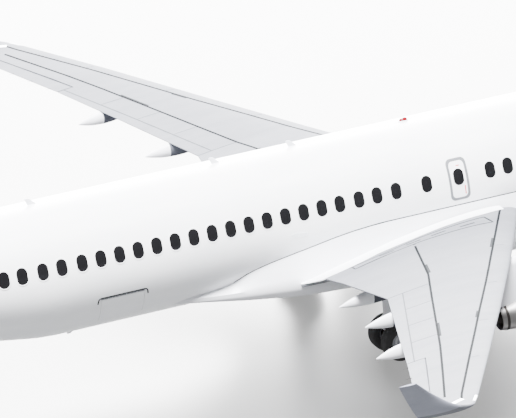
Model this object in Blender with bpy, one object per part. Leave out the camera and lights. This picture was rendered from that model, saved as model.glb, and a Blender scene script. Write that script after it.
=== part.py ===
"""A narrow-body twin-jet airliner, parked on its landing gear.

Units are metres. +X points to the nose, +Y to port and +Z up. The origin is on the ground
at the middle of the length. Heights marked as over the axis are measured from the
fuselage's own centre line. Distances marked as forward of the exit are measured from the
overwing exit, and are negative behind it. The left side is built, and the right side is its
mirror image.
"""
import math

import bmesh
import bpy
from mathutils import Matrix, Vector

# Driving dimensions
LENGTH = 38.71
NOSE_X = LENGTH / 2
AXIS_HEIGHT = 3.40
EXIT_X = 2.155
BODY_HALF_WIDTH = 1.755
BODY_HALF_HEIGHT = 1.85
WING_ROOT_Y = 2.05
WING_TIP_Y = 16.20
FIT = 0.0003
SWING_GAP = 0.008
PIN_RADIUS = 0.014
BODY_SEGMENTS = 32
WHEEL_SEGMENTS = 20
SIDES = (("left", 1), ("right", -1))

# Fuselage sections: distance behind the nose tip, top, bottom (over the axis), half width
BODY_SECTIONS = (
    (0.00, -0.52, -0.78, 0.12),
    (0.08, -0.31, -0.98, 0.33),
    (0.30, -0.06, -1.20, 0.62),
    (0.60, 0.16, -1.36, 0.85),
    (0.95, 0.33, -1.47, 1.03),
    (1.50, 0.57, -1.58, 1.23),
    (2.00, 0.78, -1.66, 1.37),
    (2.60, 1.14, -1.73, 1.50),
    (3.30, 1.45, -1.79, 1.61),
    (4.20, 1.68, -1.83, 1.70),
    (5.60, 1.85, -1.85, 1.755),
    (28.80, 1.85, -1.85, 1.755),
    (30.20, 1.845, -1.68, 1.72),
    (31.70, 1.82, -1.32, 1.60),
    (33.20, 1.76, -0.80, 1.37),
    (34.70, 1.66, -0.24, 1.07),
    (36.20, 1.53, 0.30, 0.74),
    (37.40, 1.41, 0.68, 0.46),
    (38.20, 1.30, 0.88, 0.28),
    (38.71, 1.20, 0.96, 0.17),
)
RADOME_LENGTH = 0.95
TAIL_CONE_START = 37.40

# Belly fairing sections: forward of the exit, half width, shoulder, lower edge of the
# flat side, bottom, and the height where it meets the fuselage's side
FAIRING_SECTIONS = (
    (5.40, 1.15, -1.10, -1.25, -1.70, -0.90),
    (3.80, 1.74, -0.72, -1.25, -2.02, -0.35),
    (2.40, WING_ROOT_Y, -0.45, -1.42, -2.17, -0.20),
    (1.60, WING_ROOT_Y, -0.40, -1.42, -2.17, -0.20),
    (-3.20, WING_ROOT_Y, -0.40, -1.42, -2.17, -0.20),
    (-5.15, WING_ROOT_Y, -0.62, -1.42, -2.03, -0.48),
    (-6.30, 1.92, -0.98, -1.38, -1.84, -0.75),
    (-7.80, 1.52, -1.30, -1.42, -1.60, -1.25),
    (-9.20, 0.90, -1.32, -1.40, -1.48, -1.30),
)
# Stretch of the body that the fairing is shaped to, as distances behind the nose tip
FAIRING_REACH = (5.60, 30.20)
# Half width of the fairing's inner face, as a share of the body's and of its own
FAIRING_INSIDE = (0.94, 0.97)
# Exponent of the curve between the fairing's flat side and its bottom: 1 is an ellipse
FAIRING_CURVE = 0.8

# Wing sections: distance out, leading edge (forward of the exit, over the axis), trailing
# edge (same), thickness
WING_SECTIONS = (
    (WING_ROOT_Y, 1.53, -0.67, -5.00, -1.00, 0.80),
    (4.40, 0.31, -0.49, -4.71, -0.62, 0.60),
    (6.70, -0.91, -0.29, -4.42, -0.37, 0.43),
    (10.00, -2.70, 0.05, -5.57, 0.04, 0.31),
    (13.40, -4.58, 0.43, -6.73, 0.41, 0.22),
    (WING_TIP_Y, -6.15, 0.70, -7.73, 0.63, 0.155),
)
# Winglet sections: distance out, leading edge, trailing edge, thickness, lean from flat
WINGLET_SECTIONS = (
    (WING_TIP_Y, -6.15, 0.70, -7.73, 0.63, 0.155, 0),
    (16.80, -6.54, 0.75, -7.95, 0.69, 0.140, 12),
    (16.95, -6.95, 0.88, -8.10, 0.83, 0.115, 40),
    (17.20, -7.69, 1.40, -8.42, 1.36, 0.085, 60),
    (17.54, -8.30, 1.97, -8.75, 1.97, 0.045, 62),
)
# The wing's shape is cut out of the pylon and the leg as far out as this
CUTTER_END = WING_SECTIONS[3][0]
# Share of the foil's thickness over its chord line
UPPER_SHARE = 0.46
# Where a foil's outline has its points, as shares of a stretch of the chord: from the
# leading edge backwards, and along a stretch that starts further back
NOSE_SHARES = (0.0, 0.02, 0.08, 0.20, 0.38, 0.60, 0.80, 1.0)
MIDDLE_SHARES = (0.0, 0.14, 0.32, 0.55, 0.78, 1.0)
REAR_SHARES = (0.0, 0.5, 1.0)
FOIL_FRACTIONS = (0.0, 0.012, 0.05, 0.12, 0.22, 0.36, 0.52, 0.68, 0.84, 1.0)

SLAT_CHORD = 0.52
FLAP_START = 0.78
# Flaps: name, inner end, outer end
FLAPS = (
    ("flap_inboard", WING_ROOT_Y + 0.02, 6.68),
    ("flap_outboard", 6.70, 12.60),
)
AILERON_SPAN = (12.64, 16.16)
# How far behind the flaps' front edge the aileron's thickness is taken, as a share of the chord
AILERON_AFT = 0.03
# Radius of a control surface's round nose, as a share of half the thickness at its hinge
HINGE_NOSE = 0.96

# Flap-track fairings: distance out, tip forward of the exit, tip over the axis, length, width,
# depth
TRACK_FAIRINGS = (
    (4.85, -5.20, -1.02, 2.70, 0.30, 0.46),
    (7.88, -5.72, -0.47, 2.30, 0.28, 0.42),
    (10.78, -6.60, -0.15, 1.90, 0.26, 0.38),
)
# Sections of a flap-track fairing: share of its length, share of its full width and depth
CANOE_STEPS = (
    (0.0, 0.06),
    (0.10, 0.50),
    (0.28, 0.88),
    (0.50, 1.0),
    (0.72, 0.80),
    (0.88, 0.45),
    (1.0, 0.05),
)
CANOE_SEGMENTS = 12

# Engine: end of the core nozzle (forward of the exit, out, over the axis) and its pitch
ENGINE_TAIL = (-0.82, 5.50, -2.13)
ENGINE_PITCH = math.radians(2.5)
# Engine stations along its own axis, forward of the core nozzle's end
NACELLE_REAR = 0.95
INLET_LIP = 4.35
LIP_RADIUS = 0.93
DUCT_RADIUS = 0.945
# Nacelle's outside from rear to front, then its duct from front to rear: station, radius
NACELLE_OUTSIDE = (
    (NACELLE_REAR, 0.985),
    (1.60, 1.055),
    (2.50, 1.09),
    (3.40, 1.09),
    (3.95, 1.05),
    (4.22, 1.00),
    (4.32, 0.965),
)
NACELLE_INSIDE = (
    (4.32, 0.895),
    (4.20, 0.875),
    (3.90, 0.885),
    (3.55, 0.940),
    (3.12, 0.940),
    (3.00, DUCT_RADIUS),
    (2.30, DUCT_RADIUS),
    (1.60, 0.955),
    (NACELLE_REAR, 0.965),
)
NACELLE_SEGMENTS = 30
# Core from the exhaust plug's tip, round the nozzle's lip, to its front face: station, radius
CORE_FRONT = 3.05
CORE_ROWS = (
    (-0.36, 0.0),
    (-0.28, 0.05),
    (0.12, 0.19),
    (0.12, 0.29),
    (0.0, 0.335),
    (0.0, 0.355),
    (0.35, 0.41),
    (0.90, 0.48),
    (1.60, 0.53),
    (2.30, 0.52),
    (CORE_FRONT, 0.42),
    (CORE_FRONT, 0.0),
)
GUIDE_VANES = 10
VANE_FRONT = 2.80
VANE_REAR = 2.50
VANE_THICKNESS = 0.030
# Spinner from its tip to the hub: station, radius
HUB_RADIUS = 0.30
SPINNER_ROWS = (
    (3.86, 0.0),
    (3.80, 0.06),
    (3.62, 0.17),
    (3.42, 0.265),
    (3.32, HUB_RADIUS),
)
FAN_RADIUS = 0.925
FAN_BLADES = 18
BLADE_X = 3.21
# The blades' places between the hub's facets, as a share of their spacing
BLADE_PHASE = 0.27
# Fan blade sections: radius, chord, thickness, stagger from the axis in degrees
BLADE_ROWS = (
    (0.26, 0.15, 0.026, 24),
    (0.60, 0.24, 0.018, 48),
    (FAN_RADIUS, 0.25, 0.010, 62),
)
PYLON_WIDTH = 0.34
# Pylon in side view: forward of the exit and over the axis
PYLON_OUTLINE = (
    (2.45, -0.97),
    (1.60, -0.84),
    (0.60, -0.62),
    (-0.20, -0.46),
    (-0.90, -0.50),
    (-2.60, -0.60),
    (-3.00, -0.74),
    (-1.70, -1.25),
    (-0.80, -1.78),
    (0.20, -1.85),
    (1.50, -1.75),
    (1.50, -1.03),
)

# Stabiliser rows: leading edge (forward of the exit, out, over the axis), trailing edge
# (forward of the exit), thickness. The fin's rows have no distance out.
STABILISER_ROOT = (-16.45, 0.70, 0.95, -20.10, 0.34)
STABILISER_TIP = (-19.55, 6.10, 1.45, -21.05, 0.14)
FIN_ROOT = (-14.30, 1.62, -20.35, 0.46)
FIN_TIP = (-19.15, 8.10, -21.25, 0.22)
# Where the rear surfaces are hinged, as a share of the chord, and the ends of those surfaces
HINGE_SHARE = 0.69
ELEVATOR_SPAN = (1.20, 5.75)
RUDDER_SPAN = (2.30, 7.72)
# Where the body begins that the tail surfaces are shaped to, behind the nose tip
TAIL_REACH = 29.0

# Landing gear: places forward of the exit, and heights over the ground
NOSE_GEAR_X = 11.95
MAIN_GEAR_X = -2.98
MAIN_GEAR_Y = 3.365
NOSE_TYRE = {"radius": 0.345, "width": 0.22, "rim": 0.19}
MAIN_TYRE = {"radius": 0.52, "width": 0.40, "rim": 0.29}
# Wheels on one axle: spacing, half length and radius of the collar between them, axle radius
NOSE_AXLE = {"spacing": 0.42, "collar": 0.06, "round": 0.075, "radius": 0.035}
MAIN_AXLE = {"spacing": 0.86, "collar": 0.11, "round": 0.125, "radius": 0.060}
BORE_PLAY = 0.0015
# Tyre section: share of its half width, share of the way from the rim to the tread
TYRE_ROWS = ((0.72, 0.0), (1.0, 0.30), (1.0, 0.62), (0.86, 0.90), (0.60, 1.0))
# Rim section from the hub's outer face, over the rim, to the hub's inner face: share of the
# rim's half width from its middle, share of its radius
RIM_ROWS = (
    (1.0, 0.0),
    (1.0, 0.42),
    (0.5, 0.84),
    (1.0, 1.0),
    (-1.0, 1.0),
    (-0.3, 0.80),
    (-0.3, 0.42),
)
# Nose gear bay: its ends forward of the exit, its half width, and its roof over the axis
BAY_FRONT = NOSE_GEAR_X + 0.95
BAY_REAR = NOSE_GEAR_X - 1.05
BAY_HALF_WIDTH = 0.42
BAY_ROOF = -1.20
NOSE_DOOR = {"thickness": 0.03, "end_gap": 0.05, "bottom": 1.02, "top": 2.00}
NOSE_LEG = {"radius": 0.085, "end": 1.05, "collar": 0.12, "collar_height": 0.12}
DRAG_BRACE = {"radius": 0.045, "reach": 0.72, "inset": 0.05, "foot": 1.35}
NOSE_PISTON_RADIUS = 0.055
TOW_LUG = {"rear": 0.04, "front": 0.15, "half_width": 0.035, "half_height": 0.04}
# Main gear: tops are over the axis, and feet and ends over the ground
MAIN_LEG = {"radius": 0.135, "top": -0.75, "end": 1.20}
MAIN_PISTON = {"radius": 0.085, "top": 1.25}
SIDE_BRACE = {"radius": 0.055, "out": 2.55, "top": -0.85, "foot": 1.62}
DOOR_ARM = {"heights": (1.45, 2.05), "half_length": 0.06, "half_height": 0.04, "root": 0.05}
MAIN_DOOR = {"out": 0.20, "thickness": 0.03, "half_length": 0.34, "bottom": 1.12, "top": 2.30}

# Jacking pads: one below the nose, one under each wing
NOSE_JACK_X = 10.30
JACK_X = -2.30
JACK_Y = 4.30
JACK_RADIUS = 0.07
JACK_DROP = 0.03
JACK_ROOT = 0.15

# Windscreen band in side view: forward of the exit and over the axis, then its half length
# across the nose
WINDSCREEN_CORNERS = ((15.42, 0.62), (14.05, 0.60), (14.10, 1.16), (14.78, 1.26))
WINDSCREEN_REACH = 2.0

# Doors in the body: name, side, forward of the exit, top and bottom over the axis, width
FLUSH_DOORS = (
    ("passenger_door_front_left", 1, 12.90, 1.26, -0.62, 0.84),
    ("service_door_front_right", -1, 12.90, 1.00, -0.62, 0.76),
    ("passenger_door_rear_left", 1, -14.60, 1.22, -0.62, 0.80),
    ("service_door_rear_right", -1, -14.60, 1.00, -0.62, 0.76),
    ("overwing_exit_left", 1, 0.0, 1.06, 0.02, 0.51),
    ("overwing_exit_right", -1, 0.0, 1.06, 0.02, 0.51),
)
# Corner radius of those doors, as a share of their width
DOOR_CORNER = 0.25
# How deep a door reaches inside the chord between its edges, and the length of its cutter
DOOR_DEPTH = 0.06
DOOR_REACH = 0.90
# Cargo doors on the right side: name, forward of the exit, width
CARGO_DOORS = (
    ("cargo_door_front", 7.60, 1.24),
    ("cargo_door_rear", -9.94, 1.24),
)
CARGO_TOP = -0.64
CARGO_BOTTOM = -1.42
# Room over the hinge for the door's top edge to swing into, and the hinge's own depth
CARGO_SWING = 0.020
CARGO_HINGE_DEPTH = 0.022
# Round enough to read as a door, and small enough to leave the hinge's ends free
CARGO_CORNER = 0.025

# Colours as linear red, green, blue, then roughness and metallic value
PAINTS = {
    "white_paint": ((0.82, 0.83, 0.85), 0.28, 0.0),
    "grey_paint": ((0.55, 0.57, 0.61), 0.38, 0.0),
    "dark_glass": ((0.02, 0.02, 0.03), 0.08, 0.0),
    "bare_metal": ((0.52, 0.53, 0.55), 0.30, 1.0),
    "dark_metal": ((0.10, 0.10, 0.11), 0.45, 1.0),
    "gear_paint": ((0.70, 0.71, 0.73), 0.35, 0.0),
    "tyre_rubber": ((0.02, 0.02, 0.02), 0.85, 0.0),
}


def clear_scene():
    """Remove every object, so that the script starts from an empty scene."""
    for old in list(bpy.data.objects):
        bpy.data.objects.remove(old, do_unlink=True)


def make_collection():
    """Make the collection that holds the aircraft's parts."""
    collection = bpy.data.collections.new("airliner")
    bpy.context.scene.collection.children.link(collection)


def make_material(name):
    """Return the named paint or metal as a Principled material."""
    if name in bpy.data.materials:
        return bpy.data.materials[name]
    colour, roughness, metallic = PAINTS[name]
    material = bpy.data.materials.new(name)
    material.use_nodes = True
    shader = material.node_tree.nodes["Principled BSDF"]
    shader.inputs["Base Color"].default_value = (*colour, 1.0)
    shader.inputs["Roughness"].default_value = roughness
    shader.inputs["Metallic"].default_value = metallic
    return material


def add_object(name, mesh_data, material, matrix=None):
    """Turn a bmesh into a named object of the aircraft's collection."""
    bmesh.ops.recalc_face_normals(mesh_data, faces=mesh_data.faces)
    mesh = bpy.data.meshes.new(name)
    mesh_data.to_mesh(mesh)
    mesh_data.free()
    mesh.materials.append(make_material(material))
    made = bpy.data.objects.new(name, mesh)
    bpy.data.collections["airliner"].objects.link(made)
    if matrix is not None:
        mesh.transform(matrix)
    return made


def place_origin(piece, point):
    """Put a moving piece's origin on its joint's axis, while its shape stays in place."""
    piece.data.transform(Matrix.Translation(-point))
    piece.location = point


def combine(target, tool, operation, keep_tool=False):
    """Apply a Boolean with the tool object to the target, and remove the tool."""
    modifier = target.modifiers.new("shape", "BOOLEAN")
    modifier.object = tool
    modifier.operation = operation
    modifier.solver = "EXACT"
    depsgraph = bpy.context.evaluated_depsgraph_get()
    result = bpy.data.meshes.new_from_object(target.evaluated_get(depsgraph))
    target.modifiers.clear()
    target.data = result
    if not keep_tool:
        bpy.data.objects.remove(tool, do_unlink=True)


def copy_of(source, name):
    """Return a full copy of an object under a new name."""
    twin = source.copy()
    twin.data = source.data.copy()
    twin.name = name
    bpy.data.collections["airliner"].objects.link(twin)
    return twin


def mirrored(source, name):
    """Return a copy of a left-hand piece on the right-hand side."""
    twin = copy_of(source, name)
    twin.data.transform(Matrix.Scale(-1.0, 4, Vector((0.0, 1.0, 0.0))))
    twin.data.flip_normals()
    twin.location.y = -source.location.y
    return twin


def loft(rings):
    """Join rings of equal length into one closed skin with flat ends."""
    shape = bmesh.new()
    rows = [[shape.verts.new(point) for point in ring] for ring in rings]
    for row, following in zip(rows, rows[1:]):
        count = len(row)
        for index in range(count):
            after = (index + 1) % count
            shape.faces.new((row[index], row[after], following[after], following[index]))
    shape.faces.new(rows[0])
    shape.faces.new(list(reversed(rows[-1])))
    bmesh.ops.triangulate(shape, faces=shape.faces)
    return shape


def turned(profile, segments=WHEEL_SEGMENTS, closed=False):
    """Turn a profile of (along, radius) pairs about the X axis into one closed skin.

    An open profile starts and ends on the axis, and a closed one is a ring's section.
    """
    shape = bmesh.new()
    rows = []
    for along, radius in profile:
        if radius == 0.0:
            rows.append([shape.verts.new((along, 0.0, 0.0))])
            continue
        row = []
        for index in range(segments):
            angle = 2 * math.pi * index / segments
            row.append(shape.verts.new((along, radius * math.sin(angle), radius * math.cos(angle))))
        rows.append(row)
    pairs = list(zip(rows, rows[1:]))
    if closed:
        pairs.append((rows[-1], rows[0]))
    for row, following in pairs:
        for index in range(segments):
            after = (index + 1) % segments
            corners = [row[index % len(row)], row[after % len(row)]]
            corners += [following[after % len(following)], following[index % len(following)]]
            unique = list(dict.fromkeys(corners))
            shape.faces.new(unique)
    return shape


def box(low, high):
    """Return a box between two corners."""
    shape = bmesh.new()
    size = Vector(high) - Vector(low)
    middle = (Vector(high) + Vector(low)) / 2
    matrix = Matrix.Translation(middle) @ Matrix.Diagonal((*size, 1.0))
    bmesh.ops.create_cube(shape, size=1.0, matrix=matrix)
    return shape


def rod(start, end, radius, end_radius=None, segments=14):
    """Return a round bar or a cone frustum between two points."""
    start = Vector(start)
    along = Vector(end) - start
    shape = bmesh.new()
    turn = along.to_track_quat("Z", "Y").to_matrix().to_4x4()
    matrix = Matrix.Translation(start + along / 2) @ turn
    bmesh.ops.create_cone(
        shape, cap_ends=True, segments=segments, depth=along.length, matrix=matrix,
        radius1=radius, radius2=radius if end_radius is None else end_radius,
    )
    return shape


def at(forward, out, over):
    """Return a point given forward of the exit, out to port and over the axis."""
    return Vector((EXIT_X + forward, out, AXIS_HEIGHT + over))


# Body

def body_sizes(behind):
    """Return the body's middle over the axis, half height and half width at a distance back."""
    for front, rear in zip(BODY_SECTIONS, BODY_SECTIONS[1:]):
        if behind <= rear[0]:
            break
    share = (behind - front[0]) / (rear[0] - front[0])
    top, bottom, half_width = (a + share * (b - a) for a, b in zip(front[1:], rear[1:]))
    return (top + bottom) / 2, (top - bottom) / 2, half_width


def body_ring(behind, grow=0.0):
    """Return the fuselage's outline at a distance behind the nose tip."""
    middle, half_height, half_width = body_sizes(behind)
    ring = []
    for index in range(BODY_SEGMENTS):
        angle = 2 * math.pi * index / BODY_SEGMENTS
        out = (half_width + grow) * math.sin(angle)
        over = middle + (half_height + grow) * math.cos(angle)
        ring.append(Vector((NOSE_X - behind, out, AXIS_HEIGHT + over)))
    return ring


def body_piece(name, start, end, material, grow=0.0):
    """Loft the body between two distances behind the nose tip."""
    stations = [start] + [row[0] for row in BODY_SECTIONS if start < row[0] < end] + [end]
    return add_object(name, loft([body_ring(place, grow) for place in stations]), material)


def rounded_plate(width, height, depth, corner, matrix):
    """Return an upright plate with round corners, its thickness along its own Y."""
    shape = bmesh.new()
    outline = []
    for quarter in range(4):
        angle = math.pi / 2 * quarter
        centre_x = math.copysign(width / 2 - corner, math.cos(angle + math.pi / 4))
        centre_z = math.copysign(height / 2 - corner, math.sin(angle + math.pi / 4))
        for step in range(4):
            turn = angle + math.pi / 2 * step / 3
            outline.append((centre_x + corner * math.cos(turn), centre_z + corner * math.sin(turn)))
    face = shape.faces.new([shape.verts.new((x, -depth / 2, z)) for x, z in outline])
    grown = bmesh.ops.extrude_face_region(shape, geom=[face])
    moved = [item for item in grown["geom"] if isinstance(item, bmesh.types.BMVert)]
    bmesh.ops.translate(shape, verts=moved, vec=(0.0, depth, 0.0))
    bmesh.ops.transform(shape, matrix=matrix, verts=shape.verts)
    return shape


def door_place(forward, top, bottom, side, depth, reach):
    """Return where a door's plate is, its height, and the ways out and down from its top edge.

    The plate stands on the chord between the door's top and bottom edge on the body's side,
    and reaches from a depth inside that chord to well outside the skin.
    """
    middle, half_height, half_width = body_sizes(NOSE_X - EXIT_X - forward)
    edges = []
    for over in (top, bottom):
        out = half_width * math.sqrt(1 - ((over - middle) / half_height) ** 2)
        edges.append(at(forward, side * out, over))
    down = (edges[1] - edges[0]).normalized()
    outward = side * Vector((0.0, -down.z, down.y))
    centre = (edges[0] + edges[1]) / 2 + outward * (reach / 2 - depth)
    across = (-down).cross(Vector((1.0, 0.0, 0.0)))
    turn = Matrix(((1.0, 0.0, 0.0), across, -down)).transposed().to_4x4()
    return Matrix.Translation(centre) @ turn, edges, outward, down


def build_flush_doors(body):
    """Cut the doors that lie flush with the body out of it, each as its own solid."""
    whole = copy_of(body, "whole_body")
    for name, side, forward, top, bottom, width in FLUSH_DOORS:
        place, edges, _, _ = door_place(forward, top, bottom, side, DOOR_DEPTH, DOOR_REACH)
        height = (edges[1] - edges[0]).length
        door = copy_of(whole, name)
        corner = DOOR_CORNER * width
        plate = rounded_plate(width, height, DOOR_REACH, corner, place)
        combine(door, add_object("cutter", plate, "white_paint"), "INTERSECT")
        opening = rounded_plate(width + 2 * FIT, height + 2 * FIT, DOOR_REACH + 2 * FIT,
                                corner + FIT, place)
        combine(body, add_object("cutter", opening, "white_paint"), "DIFFERENCE")
    bpy.data.objects.remove(whole, do_unlink=True)


def build_cargo_doors(body):
    """Cut the two cargo doors, hinged along their top edge, out of the lower right side."""
    whole = copy_of(body, "whole_body")
    for name, forward, width in CARGO_DOORS:
        place, edges, outward, down = door_place(
            forward, CARGO_TOP, CARGO_BOTTOM, -1, DOOR_DEPTH, DOOR_REACH)
        height = (edges[1] - edges[0]).length
        door = copy_of(whole, name)
        plate = rounded_plate(width, height, DOOR_REACH, CARGO_CORNER, place)
        combine(door, add_object("cutter", plate, "white_paint"), "INTERSECT")
        # The opening is wider all round, and more so past the hinge
        lift = CARGO_SWING + CARGO_HINGE_DEPTH
        shift = Matrix.Translation(-outward * FIT / 2 - down * (lift - SWING_GAP) / 2)
        opening = rounded_plate(width + 2 * SWING_GAP, height + lift + SWING_GAP,
                                DOOR_REACH + FIT, CARGO_CORNER, shift @ place)
        combine(body, add_object("cutter", opening, "white_paint"), "DIFFERENCE")
        hinge = edges[0] - outward * CARGO_HINGE_DEPTH
        half = Vector((width / 2 + SWING_GAP - FIT, 0.0, 0.0))
        tube = add_object("cutter", rod(hinge - half, hinge + half, PIN_RADIUS), "bare_metal")
        combine(door, tube, "UNION")
        place_origin(door, hinge)
    bpy.data.objects.remove(whole, do_unlink=True)


def windscreen_band(grow):
    """Return the band of the cockpit's windows, as a bar that runs across the nose."""
    shape = bmesh.new()
    centre = sum((Vector((x, 0.0, z)) for x, z in WINDSCREEN_CORNERS), Vector()) / 4
    corners = []
    for x, z in WINDSCREEN_CORNERS:
        corner = Vector((x, 0.0, z))
        corner += (corner - centre).normalized() * grow
        corners.append(at(corner.x, -WINDSCREEN_REACH, corner.z))
    face = shape.faces.new([shape.verts.new(corner) for corner in corners])
    grown = bmesh.ops.extrude_face_region(shape, geom=[face])
    moved = [item for item in grown["geom"] if isinstance(item, bmesh.types.BMVert)]
    bmesh.ops.translate(shape, verts=moved, vec=(0.0, 2 * WINDSCREEN_REACH, 0.0))
    return shape


def build_body():
    """Build the fuselage with its nose, tail cone, windscreen, doors and belly fairing."""
    body_piece("radome", 0.0, RADOME_LENGTH, "white_paint")
    body_piece("tail_cone", TAIL_CONE_START, LENGTH, "dark_metal")
    body = body_piece("fuselage", RADOME_LENGTH + FIT, TAIL_CONE_START - FIT, "white_paint")
    glass = copy_of(body, "windscreen")
    glass.data.materials.clear()
    glass.data.materials.append(make_material("dark_glass"))
    combine(glass, add_object("cutter", windscreen_band(0.0), "dark_glass"), "INTERSECT")
    combine(body, add_object("cutter", windscreen_band(2 * FIT), "dark_glass"), "DIFFERENCE")
    build_flush_doors(body)
    build_cargo_doors(body)
    bay = box(at(BAY_REAR, -BAY_HALF_WIDTH, -2 * BODY_HALF_HEIGHT),
              at(BAY_FRONT, BAY_HALF_WIDTH, BAY_ROOF))
    combine(body, add_object("cutter", bay, "white_paint"), "DIFFERENCE")
    foot = at(NOSE_JACK_X, 0.0, -BODY_HALF_HEIGHT - JACK_DROP)
    pad = rod(foot + Vector((0.0, 0.0, JACK_ROOT)), foot, JACK_RADIUS)
    combine(body, add_object("cutter", pad, "bare_metal"), "UNION")
    build_fairing()


def fairing_ring(forward, half_width, shoulder, lower, bottom, edge):
    """Return one section of the belly fairing, closed across inside the body."""
    inside = min(FAIRING_INSIDE[0] * BODY_HALF_WIDTH, FAIRING_INSIDE[1] * half_width)
    half = [(inside, edge), (half_width, shoulder)]
    steps = 6
    for step in range(steps + 1):
        angle = math.pi / 2 * step / steps
        out = half_width * math.cos(angle) ** FAIRING_CURVE
        half.append((out, lower - (lower - bottom) * math.sin(angle) ** FAIRING_CURVE))
    ring = [at(forward, out, over) for out, over in half]
    ring += [at(forward, -out, over) for out, over in reversed(half[:-1])]
    return ring


def build_fairing():
    """Build the belly fairing, shaped to the underside of the body."""
    fairing = add_object("belly_fairing", loft([fairing_ring(*row) for row in FAIRING_SECTIONS]),
                         "white_paint")
    grown = body_piece("cutter", *FAIRING_REACH, "white_paint", grow=FIT)
    combine(fairing, grown, "DIFFERENCE")


# Wings

def blend(sections, out):
    """Return a section's values at a distance out, between the rows on each side of it."""
    for inner, outer in zip(sections, sections[1:]):
        if out <= outer[0]:
            break
    share = (out - inner[0]) / (outer[0] - inner[0])
    return [a + share * (b - a) for a, b in zip(inner, outer)]


def half_thickness(fraction):
    """Return half the thickness of a foil, as a share of its greatest thickness."""
    root = 2.969 * math.sqrt(fraction) - 1.260 * fraction - 3.516 * fraction ** 2
    return (root + 2.843 * fraction ** 3 - 0.976 * fraction ** 4) / 2


def stretch(start, end, shares):
    """Return the chord fractions of the points between two ends."""
    return [start + (end - start) * share for share in shares]


def foil_ring(leading, trailing, thickness, upward, fractions, grow=0.0, share=UPPER_SHARE):
    """Return a foil's outline through the given fractions of its chord."""
    upper = []
    lower = []
    for fraction in fractions:
        place = leading.lerp(trailing, fraction)
        half = half_thickness(fraction) * thickness
        upper.append(place + upward * (half * 2 * share + grow))
        lower.append(place - upward * (half * 2 * (1 - share) + grow))
    if fractions[0] == 0.0 and grow == 0.0:
        lower = lower[1:]
    return upper + list(reversed(lower))


def wing_ring(out, fractions, grow=0.0):
    """Return the left wing's outline at a distance out, through fractions of the chord."""
    _, lead_x, lead_z, trail_x, trail_z, thickness = blend(WING_SECTIONS, out)
    leading = at(lead_x, out, lead_z)
    trailing = at(trail_x, out, trail_z)
    return foil_ring(leading, trailing, thickness, Vector((0.0, 0.0, 1.0)), fractions, grow)


def chord_at(out):
    """Return the wing's chord at a distance out."""
    row = blend(WING_SECTIONS, out)
    return row[1] - row[3]


def slat_fractions(out):
    """Return where the slat's outline has its points, at a distance out."""
    return stretch(0.0, SLAT_CHORD / chord_at(out), NOSE_SHARES)


def box_fractions(out):
    """Return where the wing box's outline has its points, at a distance out."""
    return stretch((SLAT_CHORD + FIT) / chord_at(out), FLAP_START, MIDDLE_SHARES)


def flap_fractions(out):
    """Return where a flap's outline has its points, at a distance out."""
    return stretch(FLAP_START + FIT / chord_at(out), 1.0, REAR_SHARES)


def wing_stations(inner, outer):
    """Return the distances out of the sections between two ends, with both ends."""
    return [inner] + [row[0] for row in WING_SECTIONS if inner < row[0] < outer] + [outer]


def hinge_box(hinge, aft, upward, ahead, end_gap, reach=4.0, depth=1.0):
    """Return a block that covers all behind a hinge line, its ends square to that line."""
    first, last = hinge
    along = (last - first).normalized()
    rings = []
    for point, push, lead in ((first, -end_gap, ahead[0]), (last, end_gap, ahead[1])):
        base = point + along * push
        rings.append([
            base - aft * lead + upward * depth,
            base + aft * reach + upward * depth,
            base + aft * reach - upward * depth,
            base - aft * lead - upward * depth,
        ])
    return loft(rings)


def split_control(fixed, name, hinge, aft, upward, noses, material):
    """Cut a control surface off the back of a fixed one, with a round nose and two pins."""
    first, last = hinge
    along = (last - first).normalized()
    mover = copy_of(fixed, name)
    mover.data.materials.clear()
    mover.data.materials.append(make_material(material))
    block = add_object("cutter", hinge_box(hinge, aft, upward, (0.0, 0.0), 0.0), material)
    combine(mover, block, "INTERSECT")
    nose = add_object("cutter", rod(first, last, noses[0], noses[1]), material)
    combine(mover, nose, "UNION")
    ahead = (noses[0] + SWING_GAP, noses[1] + SWING_GAP)
    space = add_object("cutter", hinge_box(hinge, aft, upward, ahead, SWING_GAP), material)
    combine(fixed, space, "DIFFERENCE")
    reach = along * (SWING_GAP - FIT)
    pin = add_object("cutter", rod(first - reach, last + reach, PIN_RADIUS), material)
    combine(mover, pin, "UNION")
    place_origin(mover, (first + last) / 2)


def build_wing():
    """Build the left wing's box, track fairings, slats, flaps, aileron and winglet."""
    inner = WING_ROOT_Y + FIT
    outer = WING_TIP_Y - FIT
    stations = wing_stations(inner, outer)
    slat_rings = [wing_ring(out, slat_fractions(out)) for out in stations]
    add_object("slats_left", loft(slat_rings), "grey_paint")
    box_rings = [wing_ring(out, box_fractions(out)) for out in stations]
    wing = add_object("wing_left", loft(box_rings), "grey_paint")
    for name, start, end in FLAPS:
        rings = [wing_ring(out, flap_fractions(out)) for out in wing_stations(start, end)]
        add_object(name + "_left", loft(rings), "grey_paint")
    add_track_fairings(wing)
    add_jack_pad(wing)
    build_aileron()
    rings = []
    for out, lead_x, lead_z, trail_x, trail_z, thickness, lean in WINGLET_SECTIONS:
        upward = Vector((0.0, -math.sin(math.radians(lean)), math.cos(math.radians(lean))))
        leading = at(lead_x, out, lead_z)
        trailing = at(trail_x, out, trail_z)
        rings.append(foil_ring(leading, trailing, thickness, upward, FOIL_FRACTIONS))
    add_object("winglet_left", loft(rings), "white_paint")


def wing_underside(forward, out):
    """Return the height over the axis of the wing's underside at a place."""
    row = blend(WING_SECTIONS, out)
    fraction = (row[1] - forward) / (row[1] - row[3])
    under = half_thickness(fraction) * row[5] * 2 * (1 - UPPER_SHARE)
    return row[2] + fraction * (row[4] - row[2]) - under


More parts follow.
